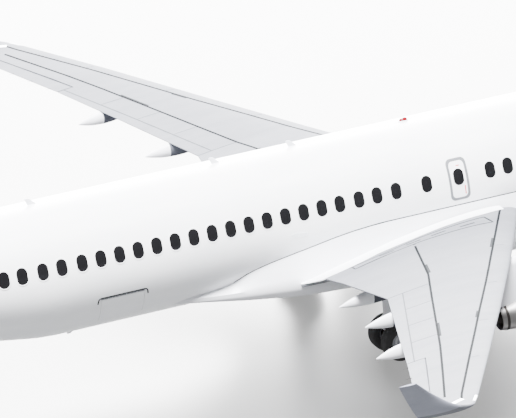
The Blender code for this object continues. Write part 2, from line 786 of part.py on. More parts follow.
def add_track_fairings(wing):
    """Join the flap-track fairings to the wing's underside, clear of the flaps."""
    for out, tip_x, tip_z, length, width, depth in TRACK_FAIRINGS:
        tip = at(tip_x, out, tip_z)
        front = at(tip_x + length, out, wing_underside(tip_x + length, out))
        rings = []
        for share, scale in CANOE_STEPS:
            centre = front.lerp(tip, share)
            ring = []
            for index in range(CANOE_SEGMENTS):
                angle = 2 * math.pi * index / CANOE_SEGMENTS
                offset = Vector((0.0, width / 2 * math.sin(angle), depth / 2 * math.cos(angle)))
                ring.append(centre + offset * scale)
            rings.append(ring)
        canoe = add_object("cutter", loft(rings), "grey_paint")
        span = (out - width, out + width)
        behind = stretch(FLAP_START, 1.0, REAR_SHARES)
        stations = wing_stations(*span)
        cutter = loft([wing_ring(place, behind, grow=2 * FIT) for place in stations])
        combine(canoe, add_object("flap_cutter", cutter, "grey_paint"), "DIFFERENCE")
        keep_lowest(canoe)
        combine(wing, canoe, "UNION")


def keep_lowest(target):
    """Keep only the piece of an object that reaches lowest."""
    shape = bmesh.new()
    shape.from_mesh(target.data)
    groups = []
    waiting = set(shape.verts)
    while waiting:
        group = {waiting.pop()}
        reached = list(group)
        while reached:
            vert = reached.pop()
            for edge in vert.link_edges:
                other = edge.other_vert(vert)
                if other in waiting:
                    waiting.discard(other)
                    group.add(other)
                    reached.append(other)
        groups.append(group)
    lowest = min(groups, key=lambda group: min(vert.co.z for vert in group))
    for group in groups:
        if group is not lowest:
            bmesh.ops.delete(shape, geom=list(group), context="VERTS")
    shape.to_mesh(target.data)
    shape.free()


def add_jack_pad(wing):
    """Join a jacking pad with a flat foot to the wing's underside."""
    under = wing_underside(JACK_X, JACK_Y)
    top = at(JACK_X, JACK_Y, under + JACK_ROOT)
    foot = at(JACK_X, JACK_Y, under - JACK_DROP)
    combine(wing, add_object("cutter", rod(top, foot, JACK_RADIUS), "bare_metal"), "UNION")


def build_aileron():
    """Build the aileron, which swings on two pins between the flap and the wing tip."""
    ends = []
    noses = []
    for out in AILERON_SPAN:
        row = blend(WING_SECTIONS, out)
        chord = row[1] - row[3]
        guess = half_thickness(FLAP_START + AILERON_AFT) * row[5]
        fraction = FLAP_START + (guess + SWING_GAP) / chord
        leading = at(row[1], out, row[2])
        ends.append(leading.lerp(at(row[3], out, row[4]), fraction))
        noses.append(HINGE_NOSE * half_thickness(fraction) * row[5])
    rings = []
    for out, end in zip(AILERON_SPAN, ends):
        row = blend(WING_SECTIONS, out)
        fraction = (EXIT_X + row[1] - end.x) / (row[1] - row[3])
        rings.append(wing_ring(out, stretch(fraction, 1.0, REAR_SHARES)))
    aileron = add_object("aileron_left", loft(rings), "grey_paint")
    along = (ends[1] - ends[0]).normalized()
    combine(aileron, add_object("cutter", rod(*ends, *noses), "grey_paint"), "UNION")
    tilt = math.sqrt(1 - along.y ** 2)
    gaps = (AILERON_SPAN[0] - FLAPS[1][2], WING_TIP_Y - AILERON_SPAN[1])
    reaches = [(gap - FIT - PIN_RADIUS * tilt) / abs(along.y) for gap in gaps]
    pin = rod(ends[0] - along * reaches[0], ends[1] + along * reaches[1], PIN_RADIUS)
    combine(aileron, add_object("cutter", pin, "grey_paint"), "UNION")
    place_origin(aileron, (ends[0] + ends[1]) / 2)


# Tail

def tail_foil(name, root, tip, upward, material):
    """Loft a tail surface from its root and tip rows: leading point, trailing point, thickness."""
    rings = [foil_ring(*row, upward, FOIL_FRACTIONS, share=0.5) for row in (root, tip)]
    return add_object(name, loft(rings), material)


def tail_hinge(root, tip, span, axis):
    """Return the hinge line between two heights or distances out, and the noses' radii."""
    points = []
    noses = []
    root_hinge = root[0].lerp(root[1], HINGE_SHARE)
    tip_hinge = tip[0].lerp(tip[1], HINGE_SHARE)
    for place in span:
        share = (place - root_hinge[axis]) / (tip_hinge[axis] - root_hinge[axis])
        points.append(root_hinge.lerp(tip_hinge, share))
        thickness = root[2] + share * (tip[2] - root[2])
        noses.append(HINGE_NOSE * half_thickness(HINGE_SHARE) * thickness)
    return points, noses


def square_axes(hinge, chord):
    """Return the directions aft and upward that are square to a hinge line."""
    along = (hinge[1] - hinge[0]).normalized()
    aft = (chord - along * chord.dot(along)).normalized()
    return aft, aft.cross(along)


def build_tail():
    """Build the fin with its rudder, and the left stabiliser with its elevator."""
    lead_x, low, trail_x, thick = FIN_ROOT
    root = (at(lead_x, 0.0, low), at(trail_x, 0.0, low), thick)
    lead_x, high, trail_x, thick = FIN_TIP
    tip = (at(lead_x, 0.0, high), at(trail_x, 0.0, high), thick)
    fin = tail_foil("fin", root, tip, Vector((0.0, 1.0, 0.0)), "white_paint")
    grown = body_piece("cutter", TAIL_REACH, LENGTH, "white_paint", grow=FIT)
    combine(fin, grown, "DIFFERENCE", keep_tool=True)
    span = [AXIS_HEIGHT + place for place in RUDDER_SPAN]
    hinge, noses = tail_hinge(root, tip, span, 2)
    aft, upward = square_axes(hinge, Vector((-1.0, 0.0, 0.0)))
    split_control(fin, "rudder", hinge, aft, upward, noses, "white_paint")
    lead_x, out, over, trail_x, thick = STABILISER_ROOT
    root = (at(lead_x, out, over), at(trail_x, out, over), thick)
    lead_x, out, over, trail_x, thick = STABILISER_TIP
    tip = (at(lead_x, out, over), at(trail_x, out, over), thick)
    surface = tail_foil("stabiliser_left", root, tip, Vector((0.0, 0.0, 1.0)), "white_paint")
    combine(surface, grown, "DIFFERENCE")
    hinge, noses = tail_hinge(root, tip, ELEVATOR_SPAN, 1)
    aft, upward = square_axes(hinge, Vector((-1.0, 0.0, 0.0)))
    split_control(surface, "elevator_left", hinge, aft, upward, noses, "white_paint")


# Engines

def nacelle_profile(grow=0.0):
    """Return the nacelle's section: its outside from rear to front, then its duct."""
    outer = [(along, radius + grow) for along, radius in NACELLE_OUTSIDE]
    inner = [(along, radius - grow) for along, radius in NACELLE_INSIDE]
    outer[0] = (NACELLE_REAR - grow, outer[0][1])
    inner[-1] = (NACELLE_REAR - grow, inner[-1][1])
    return outer + [(INLET_LIP + grow, LIP_RADIUS)] + inner


def core_profile(grow=0.0):
    """Return the core's section, from the exhaust plug's tip to its front face."""
    return [(along, radius + grow if radius else 0.0) for along, radius in CORE_ROWS]


def engine_matrix(side):
    """Return the place of one engine: its origin is the end of the core nozzle."""
    forward, out, over = ENGINE_TAIL
    place = Matrix.Translation(at(forward, side * out, over))
    return place @ Matrix.Rotation(-ENGINE_PITCH, 4, "Y")


def build_engine(wing_cutter):
    """Build the left engine's nacelle, core and pylon."""
    matrix = engine_matrix(1)
    add_object("nacelle_left", turned(nacelle_profile(), NACELLE_SEGMENTS, closed=True),
               "white_paint", matrix)
    core = add_object("engine_core_left", turned(core_profile(), NACELLE_SEGMENTS), "bare_metal",
                      matrix)
    facet_drop = VANE_THICKNESS / 2 * math.tan(math.pi / NACELLE_SEGMENTS)
    tip = DUCT_RADIUS - facet_drop - FIT
    for index in range(GUIDE_VANES):
        vane = box((VANE_REAR, -VANE_THICKNESS / 2, HUB_RADIUS),
                   (VANE_FRONT, VANE_THICKNESS / 2, tip))
        turn = Matrix.Rotation(2 * math.pi * index / GUIDE_VANES, 4, "X")
        combine(core, add_object("cutter", vane, "bare_metal", matrix @ turn), "UNION")
    build_pylon(matrix, wing_cutter)


def build_fan(label, matrix):
    """Build a fan: the spinner and hub, and twisted blades that stay clear of the duct."""
    back = CORE_FRONT + FIT
    rows = [*SPINNER_ROWS, (back, HUB_RADIUS), (back, 0.0)]
    fan = add_object("fan_" + label, turned(rows, NACELLE_SEGMENTS), "bare_metal", matrix)
    rings = []
    for radius, chord, thickness, stagger in BLADE_ROWS:
        lean = math.radians(stagger)
        along = Vector((math.cos(lean), math.sin(lean), 0.0)) * chord / 2
        across = Vector((-math.sin(lean), math.cos(lean), 0.0)) * thickness / 2
        centre = Vector((BLADE_X, 0.0, radius))
        rings.append([centre + along, centre + across, centre - along, centre - across])
    for index in range(FAN_BLADES):
        turn = Matrix.Rotation(2 * math.pi * (index + BLADE_PHASE) / FAN_BLADES, 4, "X")
        blade = add_object("cutter", loft(rings), "bare_metal", matrix @ turn)
        combine(fan, blade, "UNION")
    place_origin(fan, matrix @ Vector((BLADE_X, 0.0, 0.0)))


def build_pylon(matrix, wing_cutter):
    """Build the left pylon, cut to the wing's underside, the nacelle and the core."""
    out = ENGINE_TAIL[1]
    shape = bmesh.new()
    corners = [at(x, out - PYLON_WIDTH / 2, z) for x, z in PYLON_OUTLINE]
    face = shape.faces.new([shape.verts.new(corner) for corner in corners])
    grown = bmesh.ops.extrude_face_region(shape, geom=[face])
    moved = [item for item in grown["geom"] if isinstance(item, bmesh.types.BMVert)]
    bmesh.ops.translate(shape, verts=moved, vec=(0.0, PYLON_WIDTH, 0.0))
    pylon = add_object("pylon_left", shape, "white_paint")
    combine(pylon, wing_cutter, "DIFFERENCE", keep_tool=True)
    shell = turned(nacelle_profile(FIT), NACELLE_SEGMENTS, closed=True)
    combine(pylon, add_object("cutter", shell, "white_paint", matrix), "DIFFERENCE")
    core = turned(core_profile(FIT), NACELLE_SEGMENTS)
    combine(pylon, add_object("cutter", core, "white_paint", matrix), "DIFFERENCE")
    keep_lowest(pylon)


# Landing gear

def tyre_profile(tyre):
    """Return a tyre's section as a ring that sits on its rim.

    The flats of the tread, and not its corners, lie at the tyre's radius, so that it stands flat.
    """
    half = tyre["width"] / 2
    radius = tyre["radius"] / math.cos(math.pi / WHEEL_SEGMENTS)
    seat = tyre["rim"] + FIT
    side = [(half * along, seat + (radius - seat) * share) for along, share in TYRE_ROWS]
    return side + [(-along, out) for along, out in reversed(side)]


def rim_profile(tyre, axle):
    """Return two rims on one axle as a turned section, from one outer face to the other."""
    half = tyre["width"] / 2 * TYRE_ROWS[0][0]
    side = [(axle["spacing"] / 2 + half * along, tyre["rim"] * out) for along, out in RIM_ROWS]
    hub = side[-1][1]
    inner = axle["collar"] + FIT
    side += [(inner, hub), (inner, axle["radius"])]
    return side + [(-along, out) for along, out in reversed(side)]


def build_wheels(rims_name, tyre, axle, centre, tyre_names):
    """Build two tyres and their rims on one axle across the aircraft."""
    flat_down = Matrix.Rotation(math.pi / WHEEL_SEGMENTS, 4, "X")
    matrix = Matrix.Translation(centre) @ Matrix.Rotation(math.pi / 2, 4, "Z") @ flat_down
    rims = add_object(rims_name, turned(rim_profile(tyre, axle)), "bare_metal", matrix)
    place_origin(rims, centre)
    for name, side in tyre_names:
        shift = Vector((0.0, side * axle["spacing"] / 2, 0.0))
        ring = turned(tyre_profile(tyre), closed=True)
        made = add_object(name, ring, "tyre_rubber", Matrix.Translation(shift) @ matrix)
        place_origin(made, centre + shift)


def axle_collar(target, centre, axle):
    """Join a bored collar for the axle to the end of a gear leg."""
    across = Vector((0.0, axle["collar"], 0.0))
    collar = rod(centre - across, centre + across, axle["round"], segments=24)
    combine(target, add_object("cutter", collar, "gear_paint"), "UNION")
    bore = rod(centre - 2 * across, centre + 2 * across, axle["radius"] + BORE_PLAY, segments=24)
    combine(target, add_object("cutter", bore, "gear_paint"), "DIFFERENCE")


def build_nose_gear():
    """Build the nose gear: fixed leg, steered piston, wheels and bay doors."""
    x = EXIT_X + NOSE_GEAR_X
    roof = AXIS_HEIGHT + BAY_ROOF - FIT
    end = NOSE_LEG["end"]
    leg = add_object("nose_gear_leg", rod((x, 0, roof), (x, 0, end), NOSE_LEG["radius"]),
                     "gear_paint")
    collar = rod((x, 0, end + NOSE_LEG["collar_height"]), (x, 0, end), NOSE_LEG["collar"])
    combine(leg, add_object("cutter", collar, "gear_paint"), "UNION")
    brace_top = (x + DRAG_BRACE["reach"], 0, roof + DRAG_BRACE["inset"])
    brace = rod(brace_top, (x, 0, DRAG_BRACE["foot"]), DRAG_BRACE["radius"])
    combine(leg, add_object("cutter", brace, "gear_paint"), "UNION")
    reach = BAY_FRONT - BAY_REAR
    above = box((x - reach, -BAY_HALF_WIDTH, roof), (x + reach, BAY_HALF_WIDTH, AXIS_HEIGHT))
    combine(leg, add_object("cutter", above, "gear_paint"), "DIFFERENCE")
    axle = Vector((x, 0.0, NOSE_TYRE["radius"]))
    piston = add_object("nose_gear_piston", rod((x, 0, end - FIT), axle, NOSE_PISTON_RADIUS),
                        "gear_paint")
    axle_collar(piston, axle, NOSE_AXLE)
    half = Vector((0.0, TOW_LUG["half_width"], TOW_LUG["half_height"]))
    lug = box(axle + Vector((TOW_LUG["rear"], 0.0, 0.0)) - half,
              axle + Vector((TOW_LUG["front"], 0.0, 0.0)) + half)
    combine(piston, add_object("cutter", lug, "gear_paint"), "UNION")
    place_origin(piston, axle)
    build_wheels("nose_rims", NOSE_TYRE, NOSE_AXLE, axle,
                 (("nose_tyre_left", 1), ("nose_tyre_right", -1)))
    outer = BAY_HALF_WIDTH - FIT
    inner = outer - NOSE_DOOR["thickness"]
    rear = EXIT_X + BAY_REAR + NOSE_DOOR["end_gap"]
    front = EXIT_X + BAY_FRONT - NOSE_DOOR["end_gap"]
    door = box((rear, inner, NOSE_DOOR["bottom"]), (front, outer, NOSE_DOOR["top"]))
    left = add_object("nose_gear_door_left", door, "white_paint")
    mirrored(left, "nose_gear_door_right")


def build_main_gear(wing_cutter):
    """Build the left main gear: leg with its side brace, wheels and leg door."""
    x = EXIT_X + MAIN_GEAR_X
    y = MAIN_GEAR_Y
    axle = Vector((x, y, MAIN_TYRE["radius"]))
    tube = rod((x, y, AXIS_HEIGHT + MAIN_LEG["top"]), (x, y, MAIN_LEG["end"]), MAIN_LEG["radius"])
    leg = add_object("main_gear_leg_left", tube, "gear_paint")
    piston = rod((x, y, MAIN_PISTON["top"]), axle, MAIN_PISTON["radius"])
    combine(leg, add_object("cutter", piston, "gear_paint"), "UNION")
    brace_top = (x, SIDE_BRACE["out"], AXIS_HEIGHT + SIDE_BRACE["top"])
    brace = rod(brace_top, (x, y, SIDE_BRACE["foot"]), SIDE_BRACE["radius"])
    combine(leg, add_object("cutter", brace, "gear_paint"), "UNION")
    door_y = y + MAIN_DOOR["out"]
    for height in DOOR_ARM["heights"]:
        low = (x - DOOR_ARM["half_length"], y + DOOR_ARM["root"], height - DOOR_ARM["half_height"])
        high = (x + DOOR_ARM["half_length"], door_y, height + DOOR_ARM["half_height"])
        combine(leg, add_object("cutter", box(low, high), "gear_paint"), "UNION")
    combine(leg, wing_cutter, "DIFFERENCE", keep_tool=True)
    keep_lowest(leg)
    axle_collar(leg, axle, MAIN_AXLE)
    build_wheels("main_rims_left", MAIN_TYRE, MAIN_AXLE, axle,
                 (("main_tyre_inner_left", -1), ("main_tyre_outer_left", 1)))
    plate = box((x - MAIN_DOOR["half_length"], door_y + FIT, MAIN_DOOR["bottom"]),
                (x + MAIN_DOOR["half_length"], door_y + MAIN_DOOR["thickness"], MAIN_DOOR["top"]))
    add_object("main_gear_door_left", plate, "white_paint")


def wing_cutter():
    """Return the left wing's inner part, slightly grown, for shaping what hangs below it."""
    rings = []
    for out in wing_stations(WING_ROOT_Y + FIT, CUTTER_END):
        fractions = slat_fractions(out) + box_fractions(out) + flap_fractions(out)
        rings.append(wing_ring(out, fractions, grow=2 * FIT))
    return add_object("wing_cutter", loft(rings), "grey_paint")


def main():
    """Build the whole aircraft: the middle, then the left side, and its mirror image."""
    clear_scene()
    make_collection()
    build_body()
    build_nose_gear()
    middle = set(bpy.data.objects)
    build_wing()
    build_tail()
    cutter = wing_cutter()
    build_engine(cutter)
    build_main_gear(cutter)
    bpy.data.objects.remove(cutter, do_unlink=True)
    for piece in list(bpy.data.objects):
        if piece not in middle and piece.name.endswith("_left"):
            mirrored(piece, piece.name.replace("_left", "_right"))
    for label, side in SIDES:
        build_fan(label, engine_matrix(side))


main()
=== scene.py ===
# %% [markdown]
# A narrow-body twin-jet airliner on its landing gear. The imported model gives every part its
# place, and this script dresses it: smooth skins, windows, lines, lamps and finishes. A
# faceted model would show its flats in a glossy paint, so the skins are drawn again from
# the same few sections with many more points.

# %% Load the frame
import math

import bmesh
import bpy
import numpy as np
from mathutils import Matrix, Vector


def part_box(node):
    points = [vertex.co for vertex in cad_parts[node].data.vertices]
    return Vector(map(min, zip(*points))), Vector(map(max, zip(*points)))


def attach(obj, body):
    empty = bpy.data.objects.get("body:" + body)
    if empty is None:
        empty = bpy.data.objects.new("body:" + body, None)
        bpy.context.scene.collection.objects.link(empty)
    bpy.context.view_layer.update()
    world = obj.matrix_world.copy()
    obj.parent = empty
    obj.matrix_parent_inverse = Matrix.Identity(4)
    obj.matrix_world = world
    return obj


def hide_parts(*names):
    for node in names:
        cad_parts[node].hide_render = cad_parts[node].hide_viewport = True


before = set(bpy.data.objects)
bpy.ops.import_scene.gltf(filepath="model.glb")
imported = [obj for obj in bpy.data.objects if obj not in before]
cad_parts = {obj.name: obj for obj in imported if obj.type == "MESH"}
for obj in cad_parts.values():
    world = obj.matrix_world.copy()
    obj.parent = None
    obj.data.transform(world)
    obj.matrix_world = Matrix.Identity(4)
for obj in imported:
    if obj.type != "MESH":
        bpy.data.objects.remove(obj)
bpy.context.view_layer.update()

# %% [markdown]
# All sizes are metres. Heights over the axis are measured from the middle of the round
# body, and distances forward from the overwing exit, because both show in the photograph.
# Strips and patches start a little below the skin, so that no gap shows under them.

# %% Driving sizes
LENGTH = 38.71
NOSE_X, EXIT_X, AXIS_HEIGHT = LENGTH / 2, 2.155, 3.40
WING_ROOT, WING_TIP = 2.05, 16.20
SUNK = -0.012
SIDES = (("left", 1), ("right", -1))
AIRFRAME = "airframe"
AHEAD, PORT, UP = (Vector(way) for way in ((1, 0, 0), (0, 1, 0), (0, 0, 1)))


def at(forward, out, over):
    """Return a point given forward of the exit, out to port and over the axis."""
    return Vector((EXIT_X + forward, out, AXIS_HEIGHT + over))


# %% [markdown]
# Colours are written as on a paint card, in sRGB hex. Blender's sockets want linear light,
# so one function turns them. One more function adds a node, fills its sockets and links it,
# which keeps each finish short enough to read.

# %% Colour and node helpers
def paint_card(code):
    """Turn an sRGB hex colour into the linear values of a colour socket."""
    values = [int(code[i:i + 2], 16) / 255 for i in (0, 2, 4)]
    linear = [v / 12.92 if v <= 0.04045 else ((v + 0.055) / 1.055) ** 2.4 for v in values]
    return (*linear, 1.0)


def add_node(material, kind, inputs=None, **settings):
    """Add a node with its settings, and fill or link its input sockets."""
    tree = material.node_tree
    made = tree.nodes.new(kind)
    for key, value in settings.items():
        setattr(made, key, value)
    for key, value in (inputs or {}).items():
        if isinstance(value, bpy.types.NodeSocket):
            tree.links.new(value, made.inputs[key])
        else:
            made.inputs[key].default_value = value
    return made


def new_finish(name, **sockets):
    """Start a material and set the constant sockets of its shader."""
    material = bpy.data.materials.new(name)
    material.use_nodes = True
    shader = material.node_tree.nodes["Principled BSDF"]
    for key, value in sockets.items():
        shader.inputs[key.replace("_", " ")].default_value = value
    return material, shader


# %% [markdown]
# The body is painted with glossy polyurethane enamel. It is sprayed in panels and polished,
# so its white varies very little, its gloss a little more, and faint stains run back from
# the joints. Skin panels meet about every metre and a half, in lap joints a few millimetres
# deep: too fine to show at this distance, so the bump draws them wider.


def enamel(name, light, shade, gloss, pitch=1.60, seam=0.10, coat=0.25, shine=0.5, slot="white_paint"):
    """Return a sprayed enamel with faint stains and shallow panel joints."""
    material, shader = new_finish(name, IOR=1.5, Coat_Weight=coat, Coat_Roughness=0.08,
                                  Specular_IOR_Level=shine)
    link = material.node_tree.links.new
    place = add_node(material, "ShaderNodeTexCoord").outputs["Object"]
    stretched = add_node(material, "ShaderNodeMapping", {"Vector": place, "Scale": (0.35, 1.6, 1.6)})
    stain = add_node(material, "ShaderNodeTexNoise",
                     {"Vector": stretched.outputs["Vector"], "Scale": 1.3, "Detail": 6.0, "Roughness": 0.6})
    tone = add_node(material, "ShaderNodeMapRange",
                    {"Value": stain.outputs["Fac"], "From Min": 0.35, "From Max": 0.72})
    colour = add_node(material, "ShaderNodeMix", {"Factor": tone.outputs["Result"],
                      "A": paint_card(light), "B": paint_card(shade)}, data_type="RGBA")
    link(colour.outputs["Result"], shader.inputs["Base Color"])
    grain = add_node(material, "ShaderNodeTexNoise", {"Vector": place, "Scale": 9.0, "Detail": 4.0})
    polish = add_node(material, "ShaderNodeMapRange", {"Value": grain.outputs["Fac"],
                      "To Min": gloss - 0.05, "To Max": gloss + 0.07})
    link(polish.outputs["Result"], shader.inputs["Roughness"])
    if seam > 0:
        apart = add_node(material, "ShaderNodeSeparateXYZ", {"Vector": place})
        along = add_node(material, "ShaderNodeMath", {0: apart.outputs["X"], 1: pitch}, operation="PINGPONG")
        joint = add_node(material, "ShaderNodeMapRange", {"Value": along.outputs["Value"],
                         "From Min": 0.0, "From Max": 0.02})
        bump = add_node(material, "ShaderNodeBump", {"Height": joint.outputs["Result"],
                        "Strength": seam, "Distance": 0.01})
        link(bump.outputs["Normal"], shader.inputs["Normal"])
    return material


def clouded(name, light, shade, low, high, scale=6.0, detail=5.0, stretch=(1, 1, 1), bump=0.0,
            slot="bare_metal", **sockets):
    """Return a finish whose tone and gloss wander in clouds, with optional fine relief."""
    material, shader = new_finish(name, **sockets)
    link = material.node_tree.links.new
    place = add_node(material, "ShaderNodeTexCoord").outputs["Object"]
    drawn = add_node(material, "ShaderNodeMapping", {"Vector": place, "Scale": stretch})
    cloud = add_node(material, "ShaderNodeTexNoise",
                     {"Vector": drawn.outputs["Vector"], "Scale": scale, "Detail": detail}).outputs["Fac"]
    colour = add_node(material, "ShaderNodeMix", {"Factor": cloud, "A": paint_card(light),
                      "B": paint_card(shade)}, data_type="RGBA")
    link(colour.outputs["Result"], shader.inputs["Base Color"])
    gloss = add_node(material, "ShaderNodeMapRange", {"Value": cloud, "To Min": low, "To Max": high})
    link(gloss.outputs["Result"], shader.inputs["Roughness"])
    if bump > 0:
        relief = add_node(material, "ShaderNodeBump", {"Height": cloud, "Strength": bump, "Distance": 0.002})
        link(relief.outputs["Normal"], shader.inputs["Normal"])
    return material


# %% [markdown]
# The wings wear a matt grey enamel, because a white one would dazzle the cabin. Fuel, oil
# and boots leave long soft stains that run with the air, from front to back. Sealant, line
# paint and stains are matt films, so they have no coat and hardly any shine.

# %% Paints
FLAT = {"seam": 0.0, "coat": 0.0, "shine": 0.05, "slot": "grey_paint"}
# Sprayed polyurethane, polished: one soft highlight along the body
WHITE_ENAMEL = enamel("white_polyurethane_enamel", "F1F2F5", "E8EAEE", 0.36, coat=0.06, shine=0.28)
# The same paint over composite panels: a little greyer, as such panels are and partly as painted shade on the
# fairing's downward sides, with the same soft highlight
FAIRING_PAINT_AND_SHADE = enamel("fairing_enamel_and_painted_shade", "E2E3E8", "D8DAE0", 0.36, pitch=2.3, coat=0.06, shine=0.28)
# Matt polyurethane: hardly a highlight, so the wings stay an even grey
WING_ENAMEL = enamel("grey_wing_enamel", "717379", "686A71", 0.66, pitch=2.9, seam=0.06, coat=0.0, shine=0.12,
                     slot="grey_paint")
# Painted shade: a bluish grey, half polished, that stands for the shade on the winglets' outer faces, with a
# smooth gleam
WINGLET_PAINTED_SHADE = enamel("winglet_grey_painted_shade", "888B97", "80838F", 0.42, seam=0.0, coat=0.0, shine=0.2)
# Smoothed sealant: nearly black and dull, so that a joint reads as a fine line
LINE_PAINT = enamel("dark_grey_seam_sealant", "1B1C1E", "151618", 0.85, **FLAT)
# Brushed line paint: mid grey, for joints that show faintly
FINE_LINE = enamel("mid_grey_line_paint", "56585C", "4E5054", 0.8, **FLAT)
# Masked matt paint: a flat grey band without a highlight
BAND_PAINT = enamel("exit_band_paint", "6A6C70", "626468", 0.8, **FLAT)
# Oil and dust rubbed into sealant: a dark, dull smudge
STAIN_PAINT = enamel("grey_joint_stain", "36383B", "2F3134", 0.85, **FLAT)
# Painted shade: matt enamel on the housings, darker than the wing, for the shade under it
HOUSING_PAINTED_SHADE = enamel("housing_grey_painted_shade", "4A4C54", "43454D", 0.7, **{**FLAT, "shine": 0.1})
# Stencilled red enamel: small, strong and half glossy
RED_PAINT = enamel("red_marking_paint", "C8343A", "BE2C33", 0.4, seam=0.0)
# Perforated aluminium: the holes are too fine to show and leave a dull grey
DUCT_PANEL = enamel("perforated_duct_panel", "8F9196", "83858A", 0.5, **{**FLAT, "shine": 0.5})
# Sprayed black enamel: dark enough for the white swirl to stand out
SPINNER_PAINT = enamel("black_spinner_paint", "1F2023", "18191B", 0.35, seam=0.0, coat=0.1, slot="dark_metal")
# Epoxy enamel on forgings: white and glossy, greyed by dirt in patches
GEAR_ENAMEL = enamel("white_gear_enamel", "E4E5E8", "C9CBD0", 0.3, seam=0.0, slot="gear_paint")
# Moulded glass fibre: pale and half matt
LINER = enamel("glass_fibre_liner", "C9CBC6", "BBBDB8", 0.55, seam=0.0, coat=0.0)

# %% [markdown]
# Cabin windows are stretched acrylic in two panes. From outside they read as near black with
# a sharp highlight, since the cabin behind them is far darker than the sky. Lamps have clear
# or red moulded lenses. Tyres are dull black rubber, greyed where it is scuffed. Metals keep
# their default IOR, and their gloss says how they were worked: chromed, forged or sooted.

# %% Acrylic, metals and rubber
METAL = {"Metallic": 1.0}
# Stretched acrylic: nearly black, with a sharp highlight
ACRYLIC = clouded("stretched_acrylic_pane", "0B0B0D", "121214", 0.10, 0.22, 2.0, 3.0, slot="dark_glass",
                  IOR=1.49, Specular_IOR_Level=0.25)
# Aluminium polished to a mirror: bright, with blurred reflections of the floor
POLISHED_LIP = clouded("polished_aluminium_lip", "D8DADD", "C6C9CE", 0.10, 0.20, **METAL)
# Nickel alloy tinted by heat: a warm grey with soft streaks round the pipe
NOZZLE_METAL = clouded("heat_tinted_nickel_alloy", "8D8C8C", "6B6968", 0.30, 0.48, 3.0,
                       stretch=(0.6, 3.0, 3.0), **METAL)
# Steel under soot: dark, with a dull sheen
DARK_METAL = clouded("sooted_steel", "3E3C3A", "2A2827", 0.40, 0.60, 5.0, slot="dark_metal", **METAL)
# Titanium, brushed: mid grey, with a broad highlight on every blade
BLADE_METAL = clouded("brushed_titanium", "A7AAB0", "8B8E95", 0.22, 0.36, 8.0, stretch=(4, 1, 1), **METAL)
# Hard chrome, ground: the sharpest and brightest reflections of all
CHROME = clouded("hard_chrome_piston", "E3E4E6", "D2D4D7", 0.06, 0.14, **METAL)
# Aluminium, forged and blasted: light grey with a soft sheen
RIM_METAL = clouded("forged_aluminium_rim", "B9BBC0", "9C9FA5", 0.28, 0.42, **METAL)
# Moulded rubber: dull black, with fine relief where it is scuffed
TYRE_RUBBER = clouded("natural_rubber_compound", "1B1B1C", "343435", 0.65, 0.92, 14.0, 8.0, bump=0.35,
                      slot="tyre_rubber", IOR=1.52)
LENS = {"slot": "dark_glass", "IOR": 1.52, "Coat_Weight": 0.4, "Coat_Roughness": 0.04}
# Moulded red glass: deep in colour and wet in gloss
RED_LENS = clouded("red_beacon_lens", "7C0C1A", "4E0710", 0.08, 0.18, 18.0, 2.0, **LENS)
# Moulded clear glass: pale, with a sharp highlight; near white, it also serves as painted highlight on the
# wing tips
PALE_LENS_AND_HIGHLIGHT = clouded("pale_lamp_lens_and_painted_highlight", "F2F4F6", "DFE4EA", 0.08, 0.18, 18.0, 2.0, **LENS)
print("finishes", len(bpy.data.materials))

# %% [markdown]
# Every skin here is a grid of rings. One helper closes a grid into a mesh with smooth
# shading and hard edges kept, and another reads a table of sections and bends a smooth,
# never overshooting curve through it, as a loftsman's batten would.

# %% Skin helpers
def piece(name, shape, material, body=AIRFRAME, sharp=34, instead=None):
    """Make an object of rings, of a shell or of a mesh, and let it ride on its body.

    A piece made instead of a model node takes that node's place.
    """
    if isinstance(shape, list):
        shape = grid_mesh(name, shape)
    elif isinstance(shape, bmesh.types.BMesh):
        shape = close_shape(name, shape)
    shape.materials.clear()
    shape.materials.append(material)
    shape.shade_smooth()
    shape.set_sharp_from_angle(angle=math.radians(sharp))
    made = loose(name, shape)
    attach(made, body)
    if instead:
        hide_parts(instead)
    return made


def loose(name, data):
    """Make an object of a mesh, a light or a camera and put it in the scene."""
    made = bpy.data.objects.new(name, data)
    bpy.context.scene.collection.objects.link(made)
    return made


def shells(count):
    """Return empty shells, to be filled before pieces are made of them."""
    return [bmesh.new() for _ in range(count)]


def circle(count, start=0.0):
    """Return the angles of evenly spaced steps round a circle."""
    return [2 * math.pi * (index + start) / count for index in range(count)]


def add_rings(shape, rings, round_again=False):
    """Add rings to a mesh as one shell: its ends are filled, or the last ring meets the first."""
    made = [[shape.verts.new(point) for point in ring] for ring in rings]
    count = len(made[0])
    for low, high in zip(made, made[1:] + made[:1] if round_again else made[1:]):
        for index in range(count):
            after = (index + 1) % count
            shape.faces.new((low[index], low[after], high[after], high[index]))
    if not round_again:
        shape.faces.new(made[0][::-1])
        shape.faces.new(made[-1])


def close_shape(name, shape, mesh=None):
    """Turn the finished shell into a mesh that faces outwards."""
    bmesh.ops.recalc_face_normals(shape, faces=shape.faces)
    mesh = mesh or bpy.data.meshes.new(name)
    shape.to_mesh(mesh)
    shape.free()
    return mesh


def grid_mesh(name, grid):
    """Turn rings of points into a closed mesh of quads, with its end rings filled."""
    rows, count = len(grid), len(grid[0])
    faces = []
    for row in range(rows - 1):
        for index in range(count):
            after = (index + 1) % count
            faces.append((row * count + index, row * count + after,
                          (row + 1) * count + after, (row + 1) * count + index))
    faces += [tuple(reversed(range(count))), tuple(range((rows - 1) * count, rows * count))]
    mesh = bpy.data.meshes.new(name)
    mesh.from_pydata([tuple(point) for ring in grid for point in ring], [], faces)
    shape = bmesh.new()
    shape.from_mesh(mesh)
    bmesh.ops.remove_doubles(shape, verts=shape.verts, dist=0.00002)
    return close_shape(name, shape, mesh)


